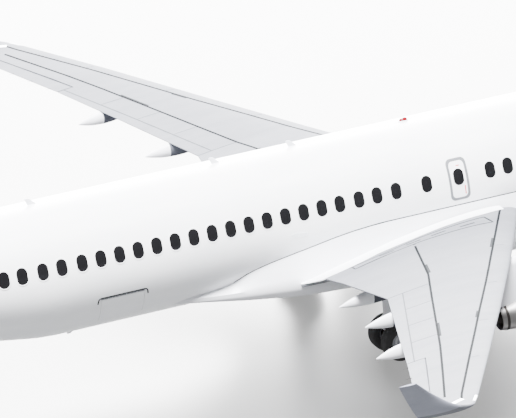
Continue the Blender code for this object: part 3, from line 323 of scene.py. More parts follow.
def batten(rows):
    """Return a function that reads a table at any place, smooth and without overshoot."""
    table = np.array(rows, dtype=float)
    places, values = table[:, 0], table[:, 1:]
    steps = np.diff(places)
    slopes = np.diff(values, axis=0) / steps[:, None]
    bends = np.zeros_like(values)
    bends[0], bends[-1] = slopes[0], slopes[-1]
    for i in range(1, len(places) - 1):
        for k in range(values.shape[1]):
            before, after = slopes[i - 1, k], slopes[i, k]
            if before * after > 0:
                w1 = 2 * steps[i] + steps[i - 1]
                w2 = steps[i] + 2 * steps[i - 1]
                bends[i, k] = (w1 + w2) / (w1 / before + w2 / after)

    def read(place):
        i = int(np.clip(np.searchsorted(places, place) - 1, 0, len(places) - 2))
        t = (place - places[i]) / steps[i]
        h = steps[i]
        return ((1 + 2 * t) * (1 - t) ** 2 * values[i] + t * (1 - t) ** 2 * h * bends[i]
                + t * t * (3 - 2 * t) * values[i + 1] + t * t * (t - 1) * h * bends[i + 1])

    return read


def carved(name, mesh, tools, operation="DIFFERENCE"):
    """Return what is left of a mesh after cuts with meshes."""
    target = loose(name, mesh)
    for tool_mesh in tools:
        tool = loose("tool", tool_mesh)
        step = target.modifiers.new("carve", "BOOLEAN")
        step.object, step.operation, step.solver = tool, operation, "EXACT"
        seen = target.evaluated_get(bpy.context.evaluated_depsgraph_get())
        target.data = bpy.data.meshes.new_from_object(seen)
        target.modifiers.clear()
        bpy.data.objects.remove(tool, do_unlink=True)
    mesh = target.data
    bpy.data.objects.remove(target, do_unlink=True)
    return mesh


def swept(outline, push):
    """Sweep a closed outline of points along a vector into a solid."""
    return grid_mesh("tool", [outline, [point + push for point in outline]])


# %% [markdown]
# The body is an aluminium skin stretched round frames and stringers. Its middle is one oval
# tube, and only the nose and the tail taper, so a short table of sections holds it all: the
# distance behind the nose tip, the top and bottom over the axis, and the half width.

# %% Body sections
BODY_SECTIONS = (
    (0.0, -0.52, -0.78, 0.12), (0.08, -0.31, -0.98, 0.33), (0.30, -0.06, -1.20, 0.62),
    (0.60, 0.16, -1.36, 0.85), (0.95, 0.33, -1.47, 1.03), (1.5, 0.57, -1.58, 1.23),
    (2.0, 0.78, -1.66, 1.37), (2.6, 1.14, -1.73, 1.50), (3.3, 1.45, -1.79, 1.61),
    (4.2, 1.68, -1.83, 1.70), (5.6, 1.85, -1.85, 1.755), (28.8, 1.85, -1.85, 1.755),
    (30.2, 1.845, -1.68, 1.72), (31.7, 1.82, -1.32, 1.60), (33.2, 1.76, -0.80, 1.37),
    (34.7, 1.66, -0.24, 1.07), (36.2, 1.53, 0.30, 0.74), (37.4, 1.41, 0.68, 0.46),
    (38.2, 1.30, 0.88, 0.28), (38.71, 1.20, 0.96, 0.17),
)
RADOME_LENGTH, TAIL_CONE_START = 0.95, 37.40
body_at = batten(BODY_SECTIONS)


def body_sizes(forward):
    """Return the body's middle over the axis, half height and half width at a place."""
    top, bottom, half_width = body_at(NOSE_X - EXIT_X - forward)
    return (top + bottom) / 2, (top - bottom) / 2, half_width


def body_ring(behind, grow=0.0, count=144):
    """Return the body's oval outline at a distance behind the nose tip."""
    forward = NOSE_X - EXIT_X - behind
    middle, half_height, half_width = body_sizes(forward)
    return [at(forward, (half_width + grow) * math.sin(turn),
               middle + (half_height + grow) * math.cos(turn)) for turn in circle(count)]


def body_mesh(name, start, end, step=0.45):
    """Loft the body between two distances behind the nose tip."""
    count = max(8, round((end - start) / step))
    places = [start + (end - start) * i / count for i in range(count + 1)]
    if start == 0.0:
        places = [0.0, 0.02, 0.05, 0.09, 0.14, 0.21, 0.30, 0.40, 0.50, 0.62, 0.78, end]
    return grid_mesh(name, [body_ring(place) for place in places])


def on_side(forward, over, side, lift=0.0):
    """Return a point on the body's side, lifted off the skin along its normal."""
    middle, half_height, half_width = body_sizes(forward)
    rise = (over - middle) / half_height
    out = half_width * math.sqrt(max(0.0, 1 - rise * rise))
    normal = Vector((0.0, side * out / half_width ** 2, rise / half_height)).normalized()
    return at(forward, side * out, over) + normal * lift


def on_middle(forward, sign):
    """Return the body's highest point at a place, or its lowest for a sign of -1."""
    middle, half_height, _ = body_sizes(forward)
    return at(forward, 0.0, middle + sign * half_height)


print("body", round(body_sizes(0.0)[2] * 2, 2), "m wide in the middle")

# %% [markdown]
# The cargo doors swing up on a hinge along their top edge. A closed door shows only as a
# thin joint and a drip rail over it, but an open one shows the hold, so the opening is cut
# through the skin and lined.

# %% Fuselage, radome and tail cone
CARGO_TOP, CARGO_BOTTOM = -0.64, -1.42
CARGO_DOORS = (("cargo_door_front", 7.60, 1.24), ("cargo_door_rear", -9.94, 1.24))
NOSE_GEAR_X = 11.95
BAY_FRONT, BAY_REAR = NOSE_GEAR_X + 0.95, NOSE_GEAR_X - 1.05
BAY_HALF_WIDTH, BAY_ROOF = 0.42, -1.20
DOOR_DEPTH, HOLD_DEPTH, SWING_GAP = 0.06, 0.55, 0.008
HINGE_DEPTH, HINGE_CLEARANCE = 0.022, 0.020


def cargo_edges(forward):
    """Return the top and bottom edge of a cargo door, and its ways out and down."""
    top, bottom = (on_side(forward, over, -1) for over in (CARGO_TOP, CARGO_BOTTOM))
    down = (bottom - top).normalized()
    return top, bottom, Vector((0.0, down.z, -down.y)), down


def cargo_block(forward, width, depth, margin, above):
    """Return a block that covers a cargo door, from a depth in to well outside the skin."""
    top, bottom, outward, down = cargo_edges(forward)
    first, last = top - down * above - outward * depth, bottom + down * margin - outward * depth
    corners = [first, last, last + outward * 1.2, first + outward * 1.2]
    reach = AHEAD * (width / 2 + margin)
    return swept([corner - reach for corner in corners], 2 * reach)


bay_outline = [at(forward, -BAY_HALF_WIDTH, over) for forward, over in
               ((BAY_REAR, -3.0), (BAY_FRONT, -3.0), (BAY_FRONT, BAY_ROOF), (BAY_REAR, BAY_ROOF))]
openings = [cargo_block(forward, width, HOLD_DEPTH, SWING_GAP, HINGE_CLEARANCE + HINGE_DEPTH)
            for _, forward, width in CARGO_DOORS]
openings.append(swept(bay_outline, PORT * (2 * BAY_HALF_WIDTH)))
tube = body_mesh("fuselage_skin", RADOME_LENGTH + 0.002, TAIL_CONE_START - 0.002)
fuselage = piece("fuselage_skin", carved("fuselage_skin", tube, openings), WHITE_ENAMEL, instead="fuselage")
piece("radome_shell", body_mesh("radome_shell", 0.0, RADOME_LENGTH), WHITE_ENAMEL, instead="radome")
piece("tail_cone_shell", body_mesh("tail_cone_shell", TAIL_CONE_START, LENGTH, 0.1), WHITE_ENAMEL,
      instead="tail_cone")
print("fuselage faces", len(fuselage.data.polygons))

# %% [markdown]
# Where the wing passes under the body a light fairing of composite panels covers the joint,
# the wheel wells and the air-conditioning packs. It rises out of the skin in a long thin
# wedge, stands proud along the wing root and fades away behind it.

# %% Belly fairing
FAIRING_SECTIONS = (
    # behind the fairing's nose, half width, shoulder, lower, bottom, edge on the skin
    (-5.4, 1.15, -1.10, -1.25, -1.70, -0.90), (-3.8, 1.74, -0.90, -1.30, -2.02, -0.42),
    (-2.4, 2.05, -1.20, -1.42, -2.17, -0.26), (-1.6, 2.05, -1.25, -1.42, -2.17, -0.24),
    (2.2, 2.05, -1.25, -1.42, -2.17, -0.24), (3.0, 2.04, -1.25, -1.42, -2.16, -0.28),
    (3.7, 2.02, -1.25, -1.42, -2.13, -0.36), (4.4, 1.99, -1.26, -1.42, -2.08, -0.48),
    (5.15, 1.92, -1.27, -1.42, -2.00, -0.61), (5.8, 1.83, -1.28, -1.41, -1.90, -0.74),
    (6.3, 1.75, -1.30, -1.41, -1.82, -0.89), (6.8, 1.64, -1.32, -1.41, -1.73, -1.14),
    (7.8, 1.32, -1.34, -1.42, -1.58, -1.29), (9.2, 0.85, -1.35, -1.40, -1.48, -1.33),
)
fairing_at = batten(FAIRING_SECTIONS)


def fairing_ring(behind):
    """Return one section of the fairing: edge, steep wall, round lower corner and floor."""
    half_width, shoulder, lower, bottom, edge = fairing_at(behind)
    inside = min(abs(on_side(-behind, edge, 1, 0.004).y), 0.97 * half_width)
    half = [(inside + (half_width - inside) * i / 6, edge + (shoulder - edge) * i / 6) for i in range(7)]
    half += [(half_width * math.cos(turn) ** 0.8, lower - (lower - bottom) * math.sin(turn) ** 0.8)
             for turn in circle(96)[:25]]
    ring = [at(-behind, out, over) for out, over in half]
    return ring + [at(-behind, -out, over) for out, over in reversed(half[:-1])]


# Close steps where the fairing changes, wide ones along its even middle
places = np.concatenate([np.linspace(-5.4, -1.6, 24), np.linspace(-1.2, 3.2, 10), np.linspace(3.5, 9.2, 30)])
# The fairing's paint is greyer than the body's, partly as painted shade.
fairing = piece("belly_fairing_panels", [fairing_ring(behind) for behind in places], FAIRING_PAINT_AND_SHADE,
                instead="belly_fairing")
seams = bmesh.new()
SEAM_CORNERS = ((-0.024, -0.01), (-0.024, 0.009), (0.024, 0.004), (0.024, -0.01))
for _, side in SIDES:
    rings = []
    for behind in np.linspace(-3.6, 6.7, 60):
        edge = float(fairing_at(behind)[4])
        rings.append([on_side(-behind, edge + rise, side, lift) for rise, lift in SEAM_CORNERS])
    add_rings(seams, rings)
piece("belly_fairing_seams", seams, STAIN_PAINT)
print("belly fairing faces", len(fairing.data.polygons))

# %% [markdown]
# A swept wing is described by a few chords: where each leading and trailing edge lies, and
# how thick the section is there. The foil's thickness follows the standard four-figure curve,
# a round nose that thins evenly to the trailing edge.

# %% Wing shape
WING_SECTIONS = (
    # out, leading edge forward and over, trailing edge forward and over, thickness
    (2.05, 1.53, -0.67, -5.00, -1.40, 0.80), (3.40, 0.83, -0.57, -4.83, -0.78, 0.685),
    (4.40, 0.31, -0.49, -4.71, -0.62, 0.60),
    (6.70, -0.91, -0.29, -4.42, -0.37, 0.43), (10.0, -2.70, 0.05, -5.57, 0.04, 0.31),
    (13.4, -4.58, 0.43, -6.73, 0.41, 0.22), (16.20, -6.15, 0.70, -7.73, 0.63, 0.155),
)
TIP_BEND = ((16.80, -6.54, 0.75, -7.95, 0.69, 0.140),)
UPPER_SHARE = 0.46
SLAT_CHORD, FLAP_START = 0.52, 0.78
FLAPS = (("flap_inboard", 2.07, 6.68), ("flap_outboard", 6.70, 12.60))
FIT, STEP_OUT = 0.0003, 0.35


def half_thickness(fraction):
    """Return half the foil's thickness at a share of the chord, for a thickness of one."""
    root = 2.969 * math.sqrt(fraction) - 1.260 * fraction - 3.516 * fraction ** 2
    return (root + 2.843 * fraction ** 3 - 0.976 * fraction ** 4) / 2


def wing_row(out):
    """Return the chord values at a distance out, past the joint to the winglet as well."""
    rows = np.array(WING_SECTIONS + TIP_BEND)
    return [float(np.interp(out, rows[:, 0], rows[:, k])) for k in range(1, 6)]


def on_wing(side, forward, out, lift=0.0, upper=True):
    """Return a point on the wing's upper or lower skin, lifted off it."""
    lead_x, lead_z, trail_x, trail_z, thickness = wing_row(out)
    fraction = min(1.0, max(0.0, (lead_x - forward) / (lead_x - trail_x)))
    half = half_thickness(fraction) * thickness * 2
    middle = lead_z + fraction * (trail_z - lead_z)
    over = middle + half * UPPER_SHARE + lift if upper else middle - half * (1 - UPPER_SHARE) - lift
    return at(forward, side * out, over)


def foil_loop(leading, trailing, thickness, upward, fractions, share=UPPER_SHARE):
    """Return a foil's outline through shares of its chord, over the top and back below."""
    upper, lower = [], []
    for fraction in fractions:
        place = leading.lerp(trailing, fraction)
        full = half_thickness(fraction) * thickness * 2
        upper.append(place + upward * full * share)
        lower.append(place - upward * full * (1 - share))
    if fractions[0] == 0.0:
        lower = lower[1:]
    return upper + lower[::-1]


def wing_strip(side, start, end, first, last, count):
    """Return rings of a strip of the wing between two distances out and two chord shares."""
    places = sorted({start, end, *np.arange(start + STEP_OUT, end - STEP_OUT / 2, STEP_OUT).tolist(),
                     *[row[0] for row in WING_SECTIONS if start < row[0] < end]})
    rings = []
    for out in places:
        lead_x, lead_z, trail_x, trail_z, thickness = wing_row(out)
        chord = lead_x - trail_x
        low, high = first(chord), last(chord)
        shares = [low + (high - low) * (1 - math.cos(math.pi * i / count)) / 2 for i in range(count + 1)]
        if low == 0.0:
            shares = [high * (i / count) ** 2 for i in range(count + 1)]
        rings.append(foil_loop(at(lead_x, side * out, lead_z), at(trail_x, side * out, trail_z),
                               thickness, UP, shares))
    return rings


# %% [markdown]
# The wing is built as real ones are: a box between two spars that holds the fuel, slats on
# its nose and flaps behind it. They are separate pieces with fine joints between them, and
# the joints are sealed with a darker compound that shows as the dark lines of the photograph.

# %% Slats and flaps
for label, side in SIDES:
    slat = wing_strip(side, WING_ROOT, WING_TIP, lambda chord: 0.0, lambda chord: SLAT_CHORD / chord, 16)
    piece(f"slat_skins_{label}", slat, WING_ENAMEL, instead=f"slats_{label}")
    for name, start, end in FLAPS:
        flap = wing_strip(side, start, end, lambda chord: FLAP_START + FIT / chord, lambda chord: 1.0, 10)
        piece(f"{name}_skins_{label}", flap, WING_ENAMEL, instead=f"{name}_{label}")
print("wing span", 2 * WING_TIP, "m without the winglets")

# %% [markdown]
# Air that flows along the body and over the wing meets in the corner between them. A hollow
# fillet of the fairing fills this corner, so that the flow doesn't break away. It is wider
# towards the trailing edge, where the wing's top falls off steeply.

# %% Wing root fillets
FILLET_ROWS = (
    # forward, width over the wing, height up the wall
    (1.05, 0.15, 0.01), (0.42, 0.27, 0.01), (-0.95, 0.29, 0.02), (-1.89, 0.40, 0.03), (-2.83, 0.45, 0.03),
    (-4.15, 1.08, 0.03), (-4.97, 1.44, 0.02),
)
FILLET_WALL = 2.0
fillet_rows = np.array(FILLET_ROWS[::-1])
for label, side in SIDES:
    rings = []
    for forward in np.linspace(FILLET_ROWS[0][0], FILLET_ROWS[-1][0], 44):
        width, height = (float(np.interp(forward, fillet_rows[:, 0], fillet_rows[:, k])) for k in (1, 2))
        outer = FILLET_WALL + 0.05 + width
        foot, end = on_wing(side, forward, 2.05, 0.004), on_wing(side, forward, outer, 0.005)
        corner = Vector((foot.x, side * FILLET_WALL, foot.z))
        top = corner + Vector((0.0, -side * 0.03, height))
        curve = [top * (1 - s) ** 2 + corner * 2 * s * (1 - s) + end * s ** 2 for s in np.linspace(0, 1, 13)]
        low = [end - UP * 0.03, corner - Vector((0.0, side * 0.10, 0.04)),
               top - PORT * (side * 0.08)]
        rings.append(curve + low)
    piece(f"wing_root_fillet_{label}", rings, WHITE_ENAMEL, sharp=60)
print("wing root fillets", len(FILLET_ROWS), "measured rows")



# %% [markdown]
# The box comes last. It runs from just behind the slats to the line where the flaps begin.

# %% Wing boxes
for label, side in SIDES:
    box = wing_strip(side, WING_ROOT, WING_TIP, lambda chord: (SLAT_CHORD + FIT) / chord,
                     lambda chord: FLAP_START, 22)
    piece(f"wing_box_skins_{label}", box, WING_ENAMEL, instead=f"wing_{label}")

# %% [markdown]
# The winglet bends up out of the tip in a tight curve. It spoils the whirl of air round the
# tip and so saves fuel, and its blade wears a bluish grey that is painted shade. The flap
# tracks hang in long canoe-shaped fairings under the wing, with their blunt end forward and
# a sharp tail; the housing in front is painted darker, as painted shade under the wing.

# %% Winglets and flap-track fairings
WINGLET_SECTIONS = (
    # out, leading forward and over, trailing forward and over, thickness, lean in degrees
    (16.20, -6.15, 0.70, -7.73, 0.63, 0.155, 0), (16.80, -6.54, 0.75, -7.95, 0.69, 0.140, 12),
    (16.95, -6.95, 0.88, -8.10, 0.83, 0.115, 40), (17.20, -7.69, 1.40, -8.42, 1.36, 0.085, 60),
    (17.539, -8.30, 1.97, -8.75, 1.97, 0.045, 62),
)
TRACK_FAIRINGS = (
    # out, tip forward and over, length, width, depth, length of the light cone
    (4.85, -5.08, -1.06, 2.58, 0.30, 0.46, 0.98), (7.88, -5.60, -0.49, 2.18, 0.28, 0.44, 0.76),
    (10.78, -6.53, -0.15, 1.83, 0.26, 0.40, 0.73),
)
CANOE_STEPS = ((0.0, 0.06), (0.10, 0.50), (0.28, 0.88), (0.50, 1.0), (0.72, 0.80), (0.88, 0.45), (1.0, 0.05))
TIP_OVER = WINGLET_SECTIONS[0][2]
first, second = (np.array(row) for row in WINGLET_SECTIONS[:2])
straight = [tuple(first + (second - first) * share) for share in (0.0, 0.33, 0.66)]
winglet_rows = [(row[0] - WING_TIP + row[2] - TIP_OVER, *row) for row in (*straight, *WINGLET_SECTIONS[1:])]
BLADE_START = winglet_rows[4][0]
winglet_at, canoe_at = batten(winglet_rows), batten(CANOE_STEPS)


def winglet_chord(place, side):
    """Return the ends of the winglet's chord at a place along it, its thickness and its upward way."""
    out, lead_x, lead_z, trail_x, trail_z, thickness, lean = winglet_at(place)
    upright = Vector((0.0, -side * math.sin(math.radians(lean)), math.cos(math.radians(lean))))
    return at(lead_x, side * out, lead_z), at(trail_x, side * out, trail_z), thickness, upright


winglet_shares = [(i / 20) ** 1.6 for i in range(21)]
for label, side in SIDES:
    # The blade past the bend wears the painted shade grey; the root keeps the wing's grey.
    for name, start, end, paint in (("winglet_root", 0.0, BLADE_START, WING_ENAMEL),
                                    ("winglet_blade", BLADE_START, winglet_rows[-1][0], WINGLET_PAINTED_SHADE)):
        rings = [foil_loop(*winglet_chord(place, side), winglet_shares)
                 for place in np.linspace(start, end, 16)]
        piece(f"{name}_{label}", rings, paint, sharp=50, instead=f"winglet_{label}")
    for number, (out, tip_x, tip_z, length, width, depth, cone) in enumerate(TRACK_FAIRINGS, 1):
        tip, front = at(tip_x, side * out, tip_z), on_wing(side, tip_x + length, out, upper=False)
        rings = []
        for share in np.linspace(0.0, 1.0, 30):
            scale = float(canoe_at(share)[0])
            rings.append([front.lerp(tip, share) + Vector((0.0, width / 2 * math.sin(turn) * scale,
                          depth / 2 * math.cos(turn) * scale)) for turn in circle(28)])
        joint = round((len(rings) - 1) * (1 - cone / length))
        # The housing in front is dark grey as painted shade; the cone behind keeps the fairing's paint.
        piece(f"flap_track_housing_{number}_{label}", rings[:joint + 1], HOUSING_PAINTED_SHADE)
        piece(f"flap_track_cone_{number}_{label}", rings[joint:], FAIRING_PAINT_AND_SHADE)
print("winglet sweep-up", WINGLET_SECTIONS[-1][2] - TIP_OVER, "m")

# %% [markdown]
# Fin and stabilisers are foils like the wing but symmetric, top and bottom alike, since they
# push both ways. Each is drawn smooth and cut away where its rudder or elevator swings, with
# the same gap as the model. The moving surfaces keep their model shape.

# %% Tail surfaces
HINGE_SHARE, END_GAP, TO_TAIL = 0.69, 0.008, -AHEAD
TAIL_SURFACES = (
    # part, root and tip as forward, out, over, trailing forward, thickness; span of the mover
    ("fin", (-14.30, 0.0, 1.62, -20.35, 0.46), (-19.15, 0.0, 8.10, -21.25, 0.22), (2.30, 7.72)),
    *((f"stabiliser_{label}", (-16.45, side * 0.70, 0.95, -20.10, 0.34),
       (-19.55, side * 6.10, 1.45, -21.05, 0.14), (1.20, 5.75)) for label, side in SIDES),
)


def tail_place(row, share):
    """Return a place on a tail section's chord, at a share of the chord."""
    forward, out, over, trail_x, _ = row
    return at(forward, out, over).lerp(at(trail_x, out, over), share)


def blend(root, tip, share):
    """Return the section at a share of the way from the root to the tip."""
    return [a + share * (b - a) for a, b in zip(root, tip)]


def tail_row(root, tip, place):
    """Return the section at a distance out, or over the axis for the fin."""
    axis = 1 if root[1] else 2
    start, end = abs(root[axis]), abs(tip[axis])
    return blend(root, tip, (place - start) / (end - start))


for part, root, tip, span in TAIL_SURFACES:
    upright = Vector((0.0, 1.0, 0.0) if part == "fin" else (0.0, 0.0, 1.0))
    rings = []
    for share in np.linspace(0.0, 1.0, 16):
        row = blend(root, tip, share)
        rings.append(foil_loop(tail_place(row, 0.0), tail_place(row, 1.0), row[4], upright,
                               [(i / 26) ** 1.5 for i in range(27)], share=0.5))
    rows = [tail_row(root, tip, place) for place in span]
    ends = [tail_place(row, HINGE_SHARE) for row in rows]
    reaches = [0.96 * half_thickness(HINGE_SHARE) * row[4] + END_GAP for row in rows]
    along = (ends[1] - ends[0]).normalized()
    aft = (TO_TAIL - along * TO_TAIL.dot(along)).normalized()
    lift = aft.cross(along)
    blocks = []
    for end, push, reach in zip(ends, (-END_GAP, END_GAP), reaches):
        base = end + along * push
        blocks.append([base - aft * reach + lift, base + aft * 4 + lift,
                       base + aft * 4 - lift, base - aft * reach - lift])
    skins = carved(part, grid_mesh(part + "_skins", rings), [grid_mesh("tool", blocks)])
    piece(part + "_skins", skins, WHITE_ENAMEL, instead=part)
print("tail surfaces", len(TAIL_SURFACES))

# %% [markdown]
# Windows, doors and marks lie in a curved skin. Each is an outline whose every point is set
# on the skin and lifted a little, in steps from its edge to its middle, so that it follows
# the curve. A flat plate would sink in at its middle or stand off at its edges.

# %% Patches that follow the skin
def rounded(width, height, corner, steps=5):
    """Return the outline of a rectangle with round corners, as offsets from its middle."""
    outline = []
    for quarter in range(4):
        start = math.pi / 2 * quarter
        middle_x = math.copysign(width / 2 - corner, math.cos(start + math.pi / 4))
        middle_z = math.copysign(height / 2 - corner, math.sin(start + math.pi / 4))
        for step in range(steps + 1):
            turn = start + math.pi / 2 * step / steps
            outline.append((middle_x + corner * math.cos(turn), middle_z + corner * math.sin(turn)))
    return outline


def divided(outline, longest, closed=True):
    """Return an outline with its long straight edges divided."""
    points = []
    for (x0, z0), (x1, z1) in zip(outline, outline[1:] + outline[:1] if closed else outline[1:]):
        parts = max(1, math.ceil(math.hypot(x1 - x0, z1 - z0) / longest))
        points += [(x0 + (x1 - x0) * i / parts, z0 + (z1 - z0) * i / parts) for i in range(parts)]
    return points if closed else points + [outline[-1]]


def patch_rings(outline, steps, place):
    """Place rings of an outline: each step is a share of its size and a lift off the skin."""
    return [[place(x * share, z * share, lift) for x, z in outline] for share, lift in steps]


PANE_STEPS = ((1.0, SUNK), (1.0, 0.004), (0.75, 0.004), (0.5, 0.004), (0.25, 0.004), (0.1, 0.004))
RIM_STEPS = ((1.0, SUNK), (1.0, 0.004), (0.97, 0.008), (0.90, 0.008), (0.86, 0.003), (0.86, SUNK))


def side_patch(shape, forward, over, side, outline, steps):
    """Add a patch round a point of the body's side."""
    add_rings(shape, patch_rings(outline, steps,
              lambda x, z, lift: on_side(forward + x, over + z, side, lift)))


# %% [markdown]
# Cabin windows stand one to a frame bay, 0.533 m apart. A few bays differ by a hand's width
# or less, as where two sections of the body are joined. The row is broken beside the wing,
# where the exit row has one lone window on each side of the exit door. Every pane sits in a
# raised rim: rim, step down, then pane.

# %% Cabin windows
WINDOW_OVER, WINDOW_PITCH = 0.54, 0.533
WINDOW_WIDTH, WINDOW_HEIGHT, WINDOW_CORNER = 0.305, 0.46, 0.146
LONE_WINDOW, EXIT_WINDOW, PAST_EXIT, AFT_ROW = -0.950, 0.006, 0.953, -1.860
AFT_WINDOWS, FORWARD_WINDOWS = 23, 21
EXTRA_AFTER = {0: 0.038, 2: 0.035, 17: 0.043, 19: 0.048, 20: -0.025}
window_places = [LONE_WINDOW, EXIT_WINDOW]
window_places += [AFT_ROW - WINDOW_PITCH * i - sum(more for bay, more in EXTRA_AFTER.items() if bay < i)
                  for i in range(AFT_WINDOWS)]
window_places += [PAST_EXIT + WINDOW_PITCH * i for i in range(FORWARD_WINDOWS)]
pane_outline = rounded(WINDOW_WIDTH, WINDOW_HEIGHT, WINDOW_CORNER)
rim_outline = rounded(WINDOW_WIDTH / 0.86, WINDOW_HEIGHT / 0.90, WINDOW_CORNER * 1.15)
for label, side in SIDES:
    panes, rims = shells(2)
    for forward in window_places:
        side_patch(panes, forward, WINDOW_OVER, side, pane_outline, PANE_STEPS)
        side_patch(rims, forward, WINDOW_OVER, side, rim_outline, RIM_STEPS)
    piece(f"cabin_panes_{label}", panes, ACRYLIC)
    piece(f"window_rims_{label}", rims, WHITE_ENAMEL)
print("cabin windows on each side", len(window_places), "from", round(min(window_places), 2),
      "to", round(max(window_places), 2))

# %% [markdown]
# Passenger doors are plugs: they lie flush and are larger than their opening, so the cabin's
# own pressure holds them shut. What shows is the joint, a small pane, the handle's recess and
# the painted band that rescue crews look for round each exit.

# %% Passenger doors and exits
FLUSH_DOORS = (
    # part, side, forward, top, bottom, width
    ("passenger_door_front_left", 1, 12.90, 1.26, -0.62, 0.84),
    ("service_door_front_right", -1, 12.90, 1.00, -0.62, 0.76),
    ("passenger_door_rear_left", 1, -14.60, 1.22, -0.62, 0.80),
    ("service_door_rear_right", -1, -14.60, 1.00, -0.62, 0.76),
    ("overwing_exit_left", 1, 0.0, 1.06, 0.02, 0.51), ("overwing_exit_right", -1, 0.0, 1.06, 0.02, 0.51),
)
DOOR_STEPS = ((1.0, SUNK), (1.0, 0.0008), *((1.0 - step / 16, 0.0014) for step in range(16)))
FLAT_STEPS = ((1.0, SUNK), (1.0, 0.004), (0.6, 0.004), (0.2, 0.004))
HANDLE_STEPS = ((1.0, SUNK), (1.0, 0.010), (0.85, 0.014))
CORNER_SHARE, EDGE_STEP, JOINT_MARGIN, JOINT_WIDTH = 0.25, 0.12, 0.012, 0.014


def side_band(shape, forward, over, side, outline, width, lift=0.0022):
    """Add a closed band just inside an outline on the body's side: a joint or a painted line."""
    half_x, half_z = (max(point[axis] for point in outline) for axis in (0, 1))
    inner = [(x * (1 - width / half_x), z * (1 - width / half_z)) for x, z in outline]
    rings = [[on_side(forward + x, over + z, side, height) for x, z in ring] for ring, height in
             ((outline, SUNK), (outline, lift), (inner, lift), (inner, SUNK))]
    add_rings(shape, rings, round_again=True)


door_joints, exit_bands, exit_marks, door_handles, small_panes = shells(5)
for part, side, forward, top, bottom, width in FLUSH_DOORS:
    over, height = (top + bottom) / 2, top - bottom
    skin = bmesh.new()
    side_patch(skin, forward, over, side,
               divided(rounded(width, height, CORNER_SHARE * width), EDGE_STEP), DOOR_STEPS)
    piece(part + "_skin", skin, WHITE_ENAMEL, instead=part)
    if part.startswith("overwing"):
        band = divided(rounded(width + 0.08, height + 0.08, 0.14), EDGE_STEP)
        side_band(exit_bands, forward, over - 0.07, side, band, 0.072, 0.004)
        side_patch(exit_marks, forward + 0.16, over - 0.37, side, rounded(0.034, 0.24, 0.014), FLAT_STEPS)
        side_patch(exit_marks, forward + 0.04, over + 0.30, side, rounded(0.10, 0.025, 0.011), FLAT_STEPS)
        continue
    joint = rounded(width + JOINT_MARGIN, height + JOINT_MARGIN, CORNER_SHARE * width)
    side_band(door_joints, forward, over, side, divided(joint, EDGE_STEP), JOINT_WIDTH)
    side_patch(small_panes, forward, over + 0.26 * height, side, rounded(0.15, 0.22, 0.07), PANE_STEPS)
    grip = (forward + 0.05, over - 0.12 * height, side)
    side_band(door_joints, *grip, rounded(0.30, 0.12, 0.03), 0.008)
    side_patch(door_handles, *grip, rounded(0.24, 0.04, 0.018), HANDLE_STEPS)
piece("door_joints", door_joints, LINE_PAINT)
piece("exit_bands", exit_bands, BAND_PAINT)
piece("exit_marks", exit_marks, RED_PAINT)
piece("door_handles", door_handles, RIM_METAL)
piece("door_panes", small_panes, ACRYLIC)
print("doors", len(FLUSH_DOORS))

# %% [markdown]
# The dark lines on the wing are real joints: in front the slat meets the wing box, behind it
# the spoilers begin, and further back they end over the flaps. A strip of sealant is laid
# along each, a few millimetres proud, in the places measured in the photograph.

# %% Lines on the wings
SLAT_LINE = ((2.07, 1.00), (4, -0.03), (6, -1.11), (8, -2.18), (10, -3.27), (12, -4.34), (14, -5.42),
             (16, -6.50), (16.38, -6.68))
SPOILER_LINE = ((3.31, -2.14), (4.00, -2.35), (6, -2.93), (8, -3.72), (10, -4.50), (12, -5.28),
                (14, -6.11), (15.9, -6.91))
FLAP_LINE = ((6.72, -4.00), (12.60, -6.26))
THICK_SPOTS = (
    # joint, from and to a distance out, forward of the joint
    (SPOILER_LINE, 5.20, 5.90, 0.05), (SPOILER_LINE, 10.2, 11.3, 0.04), (SLAT_LINE, 4.5, 5.2, -0.05),
    (SLAT_LINE, 10.1, 10.6, -0.04),
)
SPOILER_GAPS, SLAT_GAPS, FLAP_GAP = (8.2, 9.65, 11.1), (5.1, 8.0, 10.9, 13.6), 6.69
SEALANT_WIDTH, FLAP_LINE_WIDTH, GAP_WIDTH = 0.062, 0.034, 0.016
# Walkway beside the root, as (out, forward): a painted outline with short bars across it
WALKWAY = ((2.60, 0.26), (2.62, -1.67), (3.17, -3.99), (3.60, -4.02), (3.19, -1.91), (3.21, 0.25))
WALKWAY_BARS = ((2.92, -0.39), (2.88, -1.24), (2.92, -2.01), (3.06, -2.87))


def line_at(line, out):
    """Return where a line of (out, forward) points lies at a distance out."""
    return float(np.interp(out, [row[0] for row in line], [row[1] for row in line]))


def wing_ribbon(shape, side, path, width, lift=0.004, upper=True):
    """Lay a closed ribbon along a path of (out, forward) points on the wing's skin."""
    points = divided(path, 0.25, closed=False)
    rings = []
    for index, (out, forward) in enumerate(points):
        out0, forward0 = points[max(0, index - 1)]
        out1, forward1 = points[min(len(points) - 1, index + 1)]
        length = math.hypot(out1 - out0, forward1 - forward0)
        across = ((forward1 - forward0) / length * width / 2, -(out1 - out0) / length * width / 2)
        rings.append([on_wing(side, forward + push * across[1], out + push * across[0], height, upper)
                      for push, height in ((1, SUNK), (1, lift), (-1, lift), (-1, SUNK))])
    add_rings(shape, rings)


